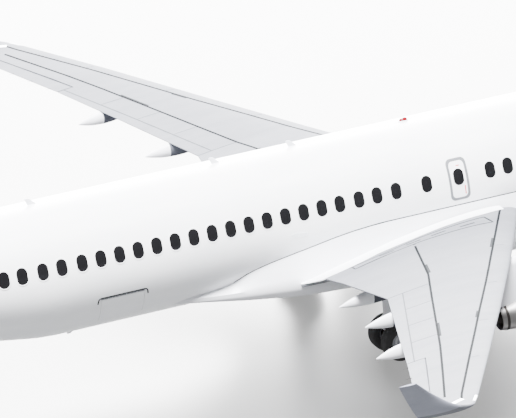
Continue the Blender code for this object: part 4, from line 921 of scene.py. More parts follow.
for label, side in SIDES:
    dark, fine, spots, walk = shells(4)
    wing_ribbon(dark, side, SLAT_LINE, SEALANT_WIDTH)
    wing_ribbon(dark, side, SPOILER_LINE, SEALANT_WIDTH)
    wing_ribbon(fine, side, FLAP_LINE, FLAP_LINE_WIDTH)
    flap_gap = ((FLAP_GAP, line_at(SPOILER_LINE, FLAP_GAP)), (FLAP_GAP, wing_row(FLAP_GAP)[2] + 0.02))
    wing_ribbon(fine, side, flap_gap, 0.02)
    for out in SPOILER_GAPS:
        joint = ((out, line_at(SPOILER_LINE, out) - 0.04), (out, line_at(FLAP_LINE, out)))
        wing_ribbon(fine, side, joint, GAP_WIDTH)
    for line, start, end, push in THICK_SPOTS:
        spot = ((start, line_at(line, start) + push), (end, line_at(line, end) + push))
        wing_ribbon(spots, side, spot, 0.08, 0.003)
    wing_ribbon(walk, side, WALKWAY + WALKWAY[:1], 0.058)
    for out, forward in WALKWAY_BARS:
        wing_ribbon(walk, side, ((out, forward + 0.22), (out + 0.03, forward - 0.22)), 0.07)
    for out in SLAT_GAPS:
        lead = wing_row(out)[0]
        wing_ribbon(fine, side, ((out, lead - 0.06), (out, lead - 0.50)), GAP_WIDTH)
    piece(f"wing_joints_{label}", dark, LINE_PAINT)
    piece(f"wing_fine_joints_{label}", fine, FINE_LINE)
    piece(f"wing_joint_stains_{label}", spots, STAIN_PAINT)
    piece(f"wing_walkway_{label}", walk, STAIN_PAINT)
print("slat joint to", SLAT_LINE[-1], "and spoiler joint to", SPOILER_LINE[-1])

# %% [markdown]
# Each engine hangs ahead of the wing on a pylon and points up by 2.5 degrees. Its nacelle is
# a ring: outside a composite cowl, in front a lip of bare aluminium that is heated against
# ice, inside the duct. All of it is turned about one line, like work on a lathe.

# %% Engine shells
ENGINE_TAIL, ENGINE_PITCH = (-0.82, 5.50, -2.13), math.radians(2.5)
NACELLE_OUTSIDE = ((0.95, 0.985), (1.60, 1.055), (2.50, 1.09), (3.40, 1.09), (3.95, 1.05))
LIP_PROFILE = ((3.95, 1.05), (4.10, 1.027), (4.22, 1.000), (4.29, 0.977), (4.335, 0.950), (4.348, 0.930),
               (4.335, 0.908), (4.29, 0.888), (4.20, 0.875), (4.08, 0.874))
DUCT_PROFILE = ((4.08, 0.874), (3.90, 0.885), (3.72, 0.915), (3.55, 0.940), (3.12, 0.940), (3.00, 0.945),
                (2.30, 0.945), (1.60, 0.955), (0.95, 0.965))
NOZZLE_PROFILE = ((2.95, 0.44), (2.30, 0.52), (1.60, 0.53), (0.90, 0.48), (0.35, 0.41), (0.0, 0.355))
NOZZLE_LIP = ((0.0, 0.335), (0.12, 0.29), (0.5, 0.28), (2.95, 0.28))
PLUG_PROFILE = ((0.12, 0.19), (0.0, 0.150), (-0.12, 0.105), (-0.22, 0.068), (-0.31, 0.030), (-0.355, 0.0))
# Where the cowl's inside meets the nozzle, the lip and the duct
COWL_BACK, COWL_FRONT, LIP_BACK = (0.97, 0.975), (3.95, 1.030), (4.06, 0.95)
HOOPS = (
    # piece, material, along, radius, half width, depth below the skin, lift behind and ahead
    ("core_band_1", DARK_METAL, 0.16, 0.3815, 0.035, 0.004, 0.004, 0.010),
    ("core_band_2", DARK_METAL, 0.90, 0.4815, 0.03, 0.004, 0.004, 0.010),
    ("core_band_3", DARK_METAL, 1.75, 0.529, 0.02, 0.004, 0.004, 0.010),
    ("cowl_joint_1", FINE_LINE, 3.93, 1.0515, 0.008, 0.01, 0.002, 0.002),
    ("cowl_joint_2", FINE_LINE, 2.62, 1.0915, 0.008, 0.01, 0.002, 0.002),
    ("cowl_joint_3", FINE_LINE, 1.12, 1.0045, 0.008, 0.01, 0.002, 0.002),
)


def smooth_profile(rows, step=0.06):
    """Return a profile of (along, radius) points bent smoothly through its rows."""
    if rows[0][0] > rows[-1][0]:
        return smooth_profile(rows[::-1], step)[::-1]
    read = batten(rows)
    count = max(4, round((rows[-1][0] - rows[0][0]) / step))
    return [(x, float(read(x)[0])) for x in np.linspace(rows[0][0], rows[-1][0], count + 1)]


def turned(profile, matrix, closed=False, count=96):
    """Turn a profile of (along, radius) points about the X axis and place the shell."""
    shape = bmesh.new()
    rings = []
    for along, radius in profile:
        if radius < 0.0005:
            rings.append([shape.verts.new((along, 0.0, 0.0))])
            continue
        rings.append([shape.verts.new((along, radius * math.sin(turn), radius * math.cos(turn)))
                      for turn in circle(count)])
    for low, high in zip(rings, rings[1:] + (rings[:1] if closed else [])):
        for i in range(count):
            after = (i + 1) % count
            corners = [low[i % len(low)], low[after % len(low)], high[after % len(high)], high[i % len(high)]]
            shape.faces.new(dict.fromkeys(corners))
    bmesh.ops.transform(shape, matrix=matrix, verts=shape.verts)
    return shape


def engine_place(side):
    """Return the place of one engine, whose origin is the end of its core nozzle."""
    forward, out, over = ENGINE_TAIL
    return Matrix.Translation(at(forward, side * out, over)) @ Matrix.Rotation(-ENGINE_PITCH, 4, "Y")


for label, side in SIDES:
    matrix = engine_place(side)
    cowl = smooth_profile(NACELLE_OUTSIDE) + [COWL_FRONT, COWL_BACK]
    piece(f"nacelle_cowl_{label}", turned(cowl, matrix, True), WHITE_ENAMEL, instead=f"nacelle_{label}")
    lip = [*LIP_PROFILE, LIP_BACK, (3.96, 1.0)]
    piece(f"inlet_lip_{label}", turned(lip, matrix, True), POLISHED_LIP)
    duct = smooth_profile(DUCT_PROFILE, 0.1) + [COWL_BACK, COWL_FRONT, LIP_BACK]
    piece(f"fan_duct_{label}", turned(duct, matrix, True), DUCT_PANEL)
    nozzle = smooth_profile(NOZZLE_PROFILE) + list(NOZZLE_LIP)
    piece(f"core_cowl_{label}", turned(nozzle, matrix, True), NOZZLE_METAL)
    plug = [(0.5, 0.0), (0.5, 0.20), *smooth_profile(PLUG_PROFILE, 0.03)]
    piece(f"exhaust_plug_{label}", turned(plug, matrix), DARK_METAL)
    for name, material, along, radius, half, depth, behind, ahead in HOOPS:
        hoop = [(along - half, radius - depth), (along - half, radius + behind),
                (along + half, radius + ahead), (along + half, radius - depth)]
        piece(f"{name}_{label}", turned(hoop, matrix, True), material)
print("nacelle length", round(LIP_PROFILE[5][0] - NACELLE_OUTSIDE[0][0], 2), "m")

# %% [markdown]
# A pylon is a narrow torque box with a rounded nose and a sharp tail, so its sections are
# lens-shaped. The fan's blades are forged from titanium and twisted: near the hub they face
# the air almost edge on, and at the tip they lie nearly flat in the disc, since the tip runs
# several times faster.

# %% Pylons, fans and guide vanes
PYLON_ROWS = (
    # forward, top, bottom, half width
    (-3.00, -0.735, -0.745, 0.012), (-2.60, -0.62, -0.90, 0.060), (-1.70, -0.56, -1.25, 0.130),
    (-0.80, -0.50, -1.78, 0.168), (0.20, -0.54, -1.85, 0.168), (0.60, -0.62, -1.82, 0.165),
    (1.10, -0.725, -1.25, 0.155), (1.60, -0.84, -1.12, 0.130), (2.10, -0.92, -1.10, 0.090),
    (2.45, -0.99, -1.08, 0.020),
)
BLADE_ROWS = (
    # radius, chord, thickness, twist in degrees
    (0.27, 0.17, 0.022, 22), (0.45, 0.22, 0.017, 38), (0.62, 0.26, 0.013, 49),
    (0.78, 0.29, 0.010, 57), (0.925, 0.28, 0.007, 63),
)
FAN_BLADES, BLADE_X, BLADE_PHASE = 18, 3.21, 0.27
GUIDE_VANES, VANE_X = 20, 2.65
SPINNER_ROWS = ((3.86, 0.001), (3.845, 0.03), (3.80, 0.068), (3.62, 0.17), (3.42, 0.265), (3.32, 0.30))
pylon_at, blade_at, spinner_at = batten(PYLON_ROWS), batten(BLADE_ROWS), batten(SPINNER_ROWS[:1:-1])


def pylon_ring(forward, side):
    """Return one section of a pylon, with a rounded top edge."""
    top, bottom, half = pylon_at(forward)
    half_ring = [(half * math.sin(turn), max(top - half * (1 - math.cos(turn)), bottom))
                 for turn in circle(32)[:9]] + [(half, bottom)]
    middle = side * ENGINE_TAIL[1]
    return ([at(forward, middle + out, over) for out, over in half_ring]
            + [at(forward, middle - out, over - 0.0001) for out, over in reversed(half_ring[1:])])


def blade_ring(radius):
    """Return the section of a fan blade at a radius, twisted and slightly bowed."""
    chord, thickness, stagger = blade_at(radius)
    lean = math.radians(stagger)
    along = Vector((math.cos(lean), math.sin(lean), 0.0))
    across = Vector((-math.sin(lean), math.cos(lean), 0.0))
    return [Vector((BLADE_X, 0.0, radius)) + along * (chord / 2 * math.cos(turn))
            + across * (thickness / 2 * math.sin(turn) + 0.05 * chord * (1 - math.cos(turn) ** 2))
            for turn in circle(16)]


def vane_ring(radius):
    """Return the section of a curved guide vane at a radius."""
    outline = [(0.14 * math.cos(turn), 0.012 * math.sin(turn)) for turn in circle(14)]
    return [Vector((VANE_X + along, across + 0.9 * along * along, radius)) for along, across in outline]


def vanes(matrix, turns, radii, section):
    """Return a shell of vanes about an engine's axis, one at each turn."""
    shape = bmesh.new()
    for turn in turns:
        place = matrix @ Matrix.Rotation(turn, 4, "X")
        add_rings(shape, [[place @ point for point in section(radius)] for radius in radii])
    return shape


for label, side in SIDES:
    rings = [pylon_ring(forward, side) for forward in np.linspace(PYLON_ROWS[0][0], PYLON_ROWS[-1][0], 40)]
    piece(f"pylon_skins_{label}", rings, FAIRING_PAINT_AND_SHADE, instead=f"pylon_{label}")
    matrix, fan = engine_place(side), f"fan_{label}"
    spinner = [(3.86, 0.0), *smooth_profile(SPINNER_ROWS, 0.02)[1:], (3.06, 0.30), (3.06, 0.0)]
    piece(f"spinner_{label}", turned(spinner, matrix), SPINNER_PAINT, body=fan, instead=fan)
    reach = np.linspace(BLADE_ROWS[0][0], BLADE_ROWS[-1][0], 12)
    blades = vanes(matrix, circle(FAN_BLADES, BLADE_PHASE), reach, blade_ring)
    piece(f"fan_blades_{label}", blades, BLADE_METAL, body=fan)
    rings = []
    for share in np.linspace(0.0, 1.0, 40):
        along, turn, width = 3.40 + 0.36 * share, 4.4 * share, 0.020 * (1.15 - share)
        radius = float(spinner_at(along)[0])
        rings.append([matrix @ Vector((along, (radius + lift) * math.sin(turn + push * width / radius),
                      (radius + lift) * math.cos(turn + push * width / radius)))
                      for push, lift in ((-1, -0.004), (-1, 0.0025), (1, 0.0025), (1, -0.004))])
    swirl = bmesh.new()
    add_rings(swirl, rings)
    piece(f"spinner_swirl_{label}", swirl, WHITE_ENAMEL, body=fan)
    piece(f"guide_vanes_{label}", vanes(matrix, circle(GUIDE_VANES), (0.45, 0.70, 0.943), vane_ring),
          RIM_METAL, instead=f"engine_core_{label}")
print("fan blades", FAN_BLADES, "and guide vanes", GUIDE_VANES, "in each engine")

# %% [markdown]
# The cockpit has six panes of laminated glass, three on each side of a thin centre post. They
# follow the skin, so their corners are given by how far forward they are and by the angle
# round the body from its crown. A dark seal shows round every pane.

# %% Cockpit windows
COCKPIT_PANES = (
    ((15.38, 3.0), (15.12, 36.0), (14.66, 27.0), (14.80, 3.0)),
    ((15.05, 39.5), (14.56, 51.5), (14.41, 34.0), (14.60, 29.5)),
    ((14.49, 53.0), (14.08, 57.5), (14.04, 44.0), (14.34, 36.0)),
)


def on_body(forward, turn, lift=0.0):
    """Return a point on the body at an angle in degrees from its crown."""
    middle, half_height, half_width = body_sizes(forward)
    sine, cosine = math.sin(math.radians(turn)), math.cos(math.radians(turn))
    behind, ahead = (body_sizes(forward + step) for step in (-0.02, 0.02))
    slope = (behind[0] + behind[1] * cosine - (ahead[0] + ahead[1] * cosine)) / 0.04
    normal = Vector((slope / half_height, sine / half_width, cosine / half_height)).normalized()
    return at(forward, half_width * sine, middle + half_height * cosine) + normal * lift


def soft_corners(corners, steps=5, cut=0.16):
    """Round the corners of a polygon with short curves and divide its edges."""
    points = []
    for index, corner in enumerate(corners):
        here = np.array(corner)
        before, after = np.array(corners[index - 1]), np.array(corners[(index + 1) % len(corners)])
        start, end = here + (before - here) * cut, here + (after - here) * cut
        points += [tuple((1 - t) ** 2 * start + 2 * t * (1 - t) * here + t * t * end)
                   for t in np.linspace(0, 1, steps)]
        points += [tuple(end + (after - here) * (1 - 2 * cut) * share) for share in (0.25, 0.5, 0.75)]
    return points


panes, seals = shells(2)
pane_steps, seal_steps = (((1.0, SUNK), *((1.0 - i / 9, lift) for i in range(9))) for lift in (0.012, 0.006))
for corners in COCKPIT_PANES:
    outline = soft_corners(corners)
    middle = np.mean(outline, axis=0)
    offsets = [tuple(np.array(point) - middle) for point in outline]
    for _, side in SIDES:
        def on_pane(ahead, turn, lift):
            return on_body(middle[0] + ahead, side * (middle[1] + turn), lift)

        add_rings(panes, patch_rings(offsets, pane_steps, on_pane))
        add_rings(seals, patch_rings([(x * 1.10, t * 1.07) for x, t in offsets], seal_steps, on_pane))
piece("cockpit_panes", panes, ACRYLIC, instead="windscreen")
piece("cockpit_seals", seals, LINE_PAINT)
print("cockpit panes", 2 * len(COCKPIT_PANES))

# %% [markdown]
# A cargo door is a slice of the same skin on its own frame. It hangs on a long piano hinge
# under a drip rail, which leads rain round the opening. Behind it the hold is lined with
# pale glass-fibre panels, so an open door doesn't look into bare structure.

# %% Cargo doors
def cargo_rim(forward, width, depth, margin, above=0.0):
    """Return the four corners of a cargo opening at a depth inside its chord."""
    top, bottom, outward, down = cargo_edges(forward)
    half = AHEAD * (width / 2 + margin)
    high, low = top - down * above - outward * depth, bottom + down * margin - outward * depth
    return [high - half, high + half, low + half, low - half]


def fine_rail(shape, points, width, lift):
    """Add a rail of square section along points of the body's right side."""
    rings = []
    for index, (forward, over) in enumerate(points):
        before, after = points[max(index - 1, 0)], points[min(index + 1, len(points) - 1)]
        run = np.array(after) - np.array(before)
        square = np.array((-run[1], run[0])) / np.linalg.norm(run) * width / 2
        corners = ((-1, SUNK), (-1, lift), (1, lift), (1, SUNK))
        rings.append([on_side(forward + sign * square[0], over + sign * square[1], -1, height)
                      for sign, height in corners])
    add_rings(shape, rings)


RAIL_END = ((-0.02, -0.10), (0.0, 0.02), (0.03, 0.055), (0.08, 0.07))
drip_rails = bmesh.new()
for name, forward, width in CARGO_DOORS:
    behind = NOSE_X - EXIT_X - forward
    leaf = carved(name, body_mesh(name + "_skin", behind - 1.2, behind + 1.2),
                  [cargo_block(forward, width, DOOR_DEPTH, 0.0, 0.0)], "INTERSECT")
    piece(name + "_leaf", leaf, WHITE_ENAMEL, body=name, instead=name)
    top, bottom, outward, down = cargo_edges(forward)
    line = top - outward * HINGE_DEPTH
    knuckles, ribs, cup = shells(3)
    for step in range(12):
        start = line + Vector((-width / 2 + width * (step + 0.06) / 12, 0.0, 0.0))
        push = AHEAD * (width * 0.88 / 12)
        ring = [start + Vector((0.0, 0.014 * math.cos(math.pi * i / 8), 0.014 * math.sin(math.pi * i / 8)))
                for i in range(16)]
        add_rings(knuckles, [ring, [point + push for point in ring]])
    piece(name + "_hinge", knuckles, RIM_METAL, body=name, instead=name)
    for step in (-0.3, 0.0, 0.3):
        place = (top + bottom) / 2 - outward * (DOOR_DEPTH + 0.012) + AHEAD * (step * width)
        half_out, half_x = outward * 0.0125, AHEAD * 0.022
        add_rings(ribs, [[place + down * 0.33 * end + half_x * x + half_out * z
                          for x, z in ((-1, -1), (1, -1), (1, 1), (-1, 1))] for end in (-1, 1)])
    piece(name + "_ribs", ribs, LINER, body=name)
    add_rings(cup, [cargo_rim(forward, width, depth, margin) for depth, margin in
                    ((0.535, -0.010), (0.10, -0.010), (0.10, 0.005), (0.547, 0.005))])
    piece(name + "_hold_liner", cup, LINER)
    ends = width / 2 + 0.08
    rail = [(forward - ends + inward, CARGO_TOP + rise) for inward, rise in RAIL_END]
    rail += [(forward + ends * share, CARGO_TOP + 0.07) for share in (-0.6, -0.3, 0.0, 0.3, 0.6)]
    rail += [(forward + ends - inward, CARGO_TOP + rise) for inward, rise in reversed(RAIL_END)]
    fine_rail(drip_rails, rail, 0.034, 0.012)
piece("cargo_drip_rails", drip_rails, STAIN_PAINT)
print("cargo doors", len(CARGO_DOORS))

# %% [markdown]
# Many small things stand on the skin. A red beacon on the crown and one below warn people
# that the engines run. Swept blade antennas serve the radios, and bent tubes near the nose
# feel the air's pressure.

# %% Beacons, antennas and probes
def dome(shape, centre, sign, forward_half, side_half, height):
    """Add a low teardrop dome that stands up, or hangs down for a sign of -1."""
    rings = []
    for rise in (-0.25, 0.0, 0.25, 0.5, 0.72, 0.88, 0.97):
        spread = math.sqrt(1 - max(rise, 0.0) ** 2)
        rings.append([centre + UP * (sign * height * rise) + Vector(
            (forward_half * (1.35 if math.cos(turn) < 0 else 0.85) * spread * math.cos(turn),
             side_half * spread * math.sin(turn), 0.0)) for turn in circle(24)])
    add_rings(shape, rings)


beacons, beacon_bases, antennas = shells(3)
CROWN_BEACON, CROWN_BLADES, BELLY_BLADES = -0.76, (-11.67, -6.36, -4.10, 9.30), (-10.90, 6.40)
crown, keel = on_middle(CROWN_BEACON, 1), at(0.60, 0.0, -2.168)
dome(beacon_bases, crown + UP * 0.004, 1, 0.15, 0.085, 0.03)
dome(beacons, crown + UP * 0.022, 1, 0.115, 0.06, 0.085)
dome(beacon_bases, keel, -1, 0.15, 0.085, 0.02)
dome(beacons, keel - UP * 0.010, -1, 0.115, 0.06, 0.07)
for places, sign in ((CROWN_BLADES, 1), (BELLY_BLADES, -1)):
    for forward in places:
        foot, rings = on_middle(forward, sign), []
        for share in (-0.06, 0.0, 0.4, 0.75, 0.93, 1.0):
            chord = 0.24 - 0.11 * max(share, 0.0) - (0.05 if share == 1.0 else 0.0)
            sweep = -0.14 * max(share, 0.0)
            rings.append([foot + Vector((sweep + chord / 2 * math.cos(turn), 0.013 * math.sin(turn)
                          * (1.3 - 0.5 * share), sign * 0.18 * share)) for turn in circle(20)])
        add_rings(antennas, rings)
piece("beacon_lenses", beacons, RED_LENS)
piece("beacon_bases", beacon_bases, FAIRING_PAINT_AND_SHADE)
piece("blade_antennas", antennas, FAIRING_PAINT_AND_SHADE)


def bar(shape, start, end, radius, end_radius=None, count=12):
    """Add a round bar or a tapered one between two points."""
    start, end = Vector(start), Vector(end)
    turn = (end - start).to_track_quat("Z", "Y")
    rings = []
    for point, size in ((start, radius), (end, radius if end_radius is None else end_radius)):
        rings.append([point + turn @ Vector((size * math.cos(angle), size * math.sin(angle), 0.0))
                      for angle in circle(count)])
    add_rings(shape, rings)


probes, masts = shells(2)
for _, side in SIDES:
    for forward, over in ((14.35, -0.45), (14.35, -0.78), (14.10, -0.12)):
        foot, tip = on_side(forward, over, side, -0.01), on_side(forward, over, side, 0.075)
        bar(masts, foot, tip + AHEAD * 0.03, 0.016, 0.009)
        bar(probes, tip + AHEAD * -0.02, tip + AHEAD * 0.16, 0.010, 0.006)
    foot = on_side(13.75, -0.30, side, -0.004)
    bar(masts, foot, on_side(13.75, -0.30, side, 0.012), 0.045, 0.043, 24)
    bar(probes, on_side(13.75, -0.30, side, 0.006), on_side(13.66, -0.31, side, 0.05), 0.012, 0.006)
piece("probe_masts", masts, FAIRING_PAINT_AND_SHADE)
piece("pitot_probes", probes, POLISHED_LIP)
print("crown antennas", len(CROWN_BLADES))

# %% [markdown]
# The auxiliary power unit in the tail breathes out through a steel pipe, so the tail cone
# ends in a dark open ring. The lamps at the wing tips sit under clear lenses that are flush
# with the leading edge, and a pale strip of the same glass on the top of each tip is painted
# highlight. A small bright, glossy patch lies on the right side.

# %% Exhaust pipe, lamps, painted highlights and side patch
PIPE_START, PIPE_POCKET = 38.60, 38.36
PIPE_STEPS = (
    # behind the nose, growth of the tail cone's section there
    (PIPE_POCKET, -0.075), (LENGTH, -0.026), (LENGTH, -0.004), (PIPE_START, 0.003),
    (PIPE_START - 0.30, -0.05),
)
piece("exhaust_pipe", [body_ring(behind, grow, 72) for behind, grow in PIPE_STEPS], NOZZLE_METAL)
NOSE_SHARE = 0.05
nose_shares = [NOSE_SHARE * (i / 8) ** 1.6 for i in range(9)]
for label, side in SIDES:
    lens_and_highlight = bmesh.new()
    rings = []
    for place in np.linspace(0.10, 0.46, 8):
        leading, trailing, thickness, upright = winglet_chord(place, side)
        chord = trailing - leading
        loop = foil_loop(leading, trailing, thickness, upright, nose_shares)
        rings.append([point - chord.normalized() * 0.004 + (point - leading - chord * NOSE_SHARE) * 0.012
                      for point in loop])
    add_rings(lens_and_highlight, rings)
    # A pale strip of the lens glass on the top of the bend into the winglet is a painted highlight.
    wing_ribbon(lens_and_highlight, side, ((16.40, -6.66), (16.52, -6.98)), 0.13, 0.008)
    piece(f"tip_lamp_cover_and_highlight_{label}", lens_and_highlight, PALE_LENS_AND_HIGHLIGHT, sharp=60)
# A small bright, glossy patch on the right side, in the near-white lens glass.
panel = bmesh.new()
PANEL_OUTLINE = [(-0.28, 0.06), (-0.09, -0.07), (0.24, -0.07), (0.27, 0.03), (-0.10, 0.09)]
side_patch(panel, -4.80, -0.05, -1, PANEL_OUTLINE,
           ((1.0, SUNK), (1.0, 0.003), (0.96, 0.006), (0.6, 0.006), (0.2, 0.006)))
piece("small_bright_side_patch", panel, PALE_LENS_AND_HIGHLIGHT)
print("exhaust pipe depth", round(LENGTH - PIPE_POCKET, 2), "m")

# %% [markdown]
# An airliner's tyre is a small heavy one, blown up hard, with grooves round its tread and no
# blocks. Each pair sits on forged aluminium rims, bolted together from halves round one axle.
# All of it is turned, as the real rims are, from the same sizes as the model's wheels.

# %% Wheels and tyres
WHEELS = {
    "nose": {"radius": 0.345, "width": 0.22, "rim": 0.19, "spacing": 0.42, "collar": 0.06, "round": 0.075,
             "axle": 0.035, "bolts": 8},
    "main": {"radius": 0.52, "width": 0.40, "rim": 0.29, "spacing": 0.86, "collar": 0.11, "round": 0.125,
             "axle": 0.060, "bolts": 12},
}
MAIN_GEAR_X, MAIN_GEAR_Y = -2.98, 3.365
BEAD = 0.72
TYRE_SIDE = (
    # share of the half width, share of the way from the rim to the tread
    (BEAD, 0.0), (0.80, 0.03), (0.90, 0.12), (0.97, 0.25), (1.0, 0.40), (1.0, 0.55), (0.975, 0.69),
    (0.93, 0.80), (0.86, 0.885), (0.78, 0.94), (0.70, 0.972), (0.62, 0.990), (0.54, 1.0),
)
RIM_FACE = (
    # along from the rim's middle and radius, as shares of its half width and its radius
    (0.58, 0.0), (0.57, 0.12), (0.50, 0.21), (0.42, 0.26), (0.22, 0.30), (0.14, 0.36), (0.14, 0.60),
    (0.26, 0.70), (0.74, 0.83), (0.92, 0.88), (1.0, 0.94), (1.0, 1.0), (-1.0, 1.0), (-1.0, 0.93),
    (-0.3, 0.80), (-0.3, 0.42),
)
GROOVES, GROOVE_HALF, GROOVE_DEPTH = (0.40, 0.14, -0.14, -0.40), 0.036, 0.010


def spot(forward, out, height):
    """Return a point given by its height over the ground."""
    return at(forward, out, height - AXIS_HEIGHT)


def axle_place(centre, side=1):
    """Return the place of turned pieces whose axis lies across the aircraft."""
    return Matrix.Translation(centre) @ Matrix.Rotation(math.radians(90 * side), 4, "Z")


def tyre_profile(wheel):
    """Return the section of a grooved tyre as a ring of (along, radius) points."""
    half, seat = wheel["width"] / 2, wheel["rim"] + FIT
    side = [(half * along, seat + (wheel["radius"] - seat) * share) for along, share in TYRE_SIDE]
    tread = [(half * (groove + GROOVE_HALF * push), wheel["radius"] - depth) for groove in GROOVES
             for push, depth in ((1.0, 0.0), (0.7, GROOVE_DEPTH), (-0.7, GROOVE_DEPTH), (-1.0, 0.0))]
    return side + tread + [(-along, radius) for along, radius in reversed(side)]


def rim_profile(wheel):
    """Return two rims on one axle as a turned section."""
    half, middle = BEAD * wheel["width"] / 2, wheel["spacing"] / 2
    side = [(middle + half * along, wheel["rim"] * out) for along, out in RIM_FACE]
    side += [(wheel["collar"] + FIT, side[-1][1]), (wheel["collar"] + FIT, wheel["axle"])]
    return side + [(-along, radius) for along, radius in reversed(side)]


def build_wheels(rims_name, kind, centre, body, tyres):
    """Build two tyres, their rims and the rims' bolts, all on one axle."""
    wheel, place = WHEELS[kind], axle_place(centre)
    piece(f"{rims_name}_forged", turned(rim_profile(wheel), place), RIM_METAL, body=body, sharp=30,
          instead=rims_name)
    bolts = bmesh.new()
    for sign in (1, -1):
        face = sign * (wheel["spacing"] / 2 + BEAD * wheel["width"] / 2 * 0.14)
        for turn in circle(wheel["bolts"]):
            ring = wheel["rim"] * 0.48 * Vector((math.sin(turn), 0.0, math.cos(turn)))
            foot, across = centre + (PORT * face + ring), PORT * (sign * 0.016)
            bar(bolts, foot - across / 2, foot + across, wheel["rim"] * 0.045, count=6)
    piece(f"{rims_name}_bolts", bolts, CHROME, body=body)
    for name, side in tyres:
        shift = Matrix.Translation((0.0, side * wheel["spacing"] / 2, 0.0))
        piece(f"{name}_grooved", turned(tyre_profile(wheel), shift @ place, True), TYRE_RUBBER, body=body,
              sharp=40, instead=name)


NOSE_AXLE = spot(NOSE_GEAR_X, 0.0, WHEELS["nose"]["radius"])
MAIN_AXLES = {label: spot(MAIN_GEAR_X, side * MAIN_GEAR_Y, WHEELS["main"]["radius"]) for label, side in SIDES}
build_wheels("nose_rims", "nose", NOSE_AXLE, "nose_wheels", (("nose_tyre_left", 1), ("nose_tyre_right", -1)))
for label, side in SIDES:
    build_wheels(f"main_rims_{label}", "main", MAIN_AXLES[label], f"main_wheels_{label}",
                 ((f"main_tyre_inner_{label}", -side), (f"main_tyre_outer_{label}", side)))

# %% [markdown]
# A main leg is a shock absorber: a bright chromed piston slides in a forged cylinder, and a
# pair of hinged links behind keeps it from turning. A side brace holds the leg upright, and
# a stack of brake discs with its ring of small cylinders sits inside each rim.

# %% Main gear legs
def axle_collar(name, kind, centre, body=AIRFRAME):
    """Make the bored collar that carries an axle."""
    wheel = WHEELS[kind]
    half, bore, size = wheel["collar"], wheel["axle"] + 0.0015, wheel["round"]
    profile = [(-half, bore), (-half, size - 0.008), (-half + 0.01, size), (half - 0.01, size),
               (half, size - 0.008), (half, bore)]
    piece(name, turned(profile, axle_place(centre), True, 64), GEAR_ENAMEL, body=body)


def post(shape, forward, out, low, high, radius, count=48):
    """Add an upright bar between two heights."""
    bar(shape, spot(forward, out, low), spot(forward, out, high), radius, count=count)


def torque_links(shape, forward, out, tops, knee, feet, width, thick):
    """Add two hinged pairs of struts that meet in a knee behind the leg."""
    def pin(place, push):
        return spot(forward + place[0], out + push, place[1])

    for end in (tops, feet):
        for sign in (-1, 1):
            bar(shape, pin(end, sign * width), pin(knee, sign * width * 0.45), thick * 1.25, thick)
        bar(shape, pin(end, -width * 1.25), pin(end, width * 1.25), thick * 1.3, count=16)
    bar(shape, pin(knee, -width * 0.8), pin(knee, width * 0.8), thick * 1.2, count=16)


def door_plate(name, node, corner):
    """Make a gear door as a plate with round corners in place of a model's plain one."""
    low, high = (Vector(point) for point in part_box(node))
    middle, size = (low + high) / 2, high - low
    outline = rounded(size.x, size.z, corner, 6)
    steps = ((0.985, low.y), (1.0, low.y + 0.005), (1.0, high.y - 0.005), (0.985, high.y))
    shape = bmesh.new()
    add_rings(shape, [[Vector((middle.x + x * grow, y, middle.z + z * grow)) for x, z in outline]
                      for grow, y in steps])
    piece(name, shape, FAIRING_PAINT_AND_SHADE, instead=node)
    return low, high


# Height of foot and top, and radius
MAIN_CYLINDER = ((1.20, 2.62, 0.135), (1.18, 1.27, 0.152), (1.58, 1.66, 0.150), (2.02, 2.10, 0.150))
NOSE_CYLINDER = ((1.05, 2.20, 0.085), (1.052, 1.17, 0.120), (1.40, 1.47, 0.100))
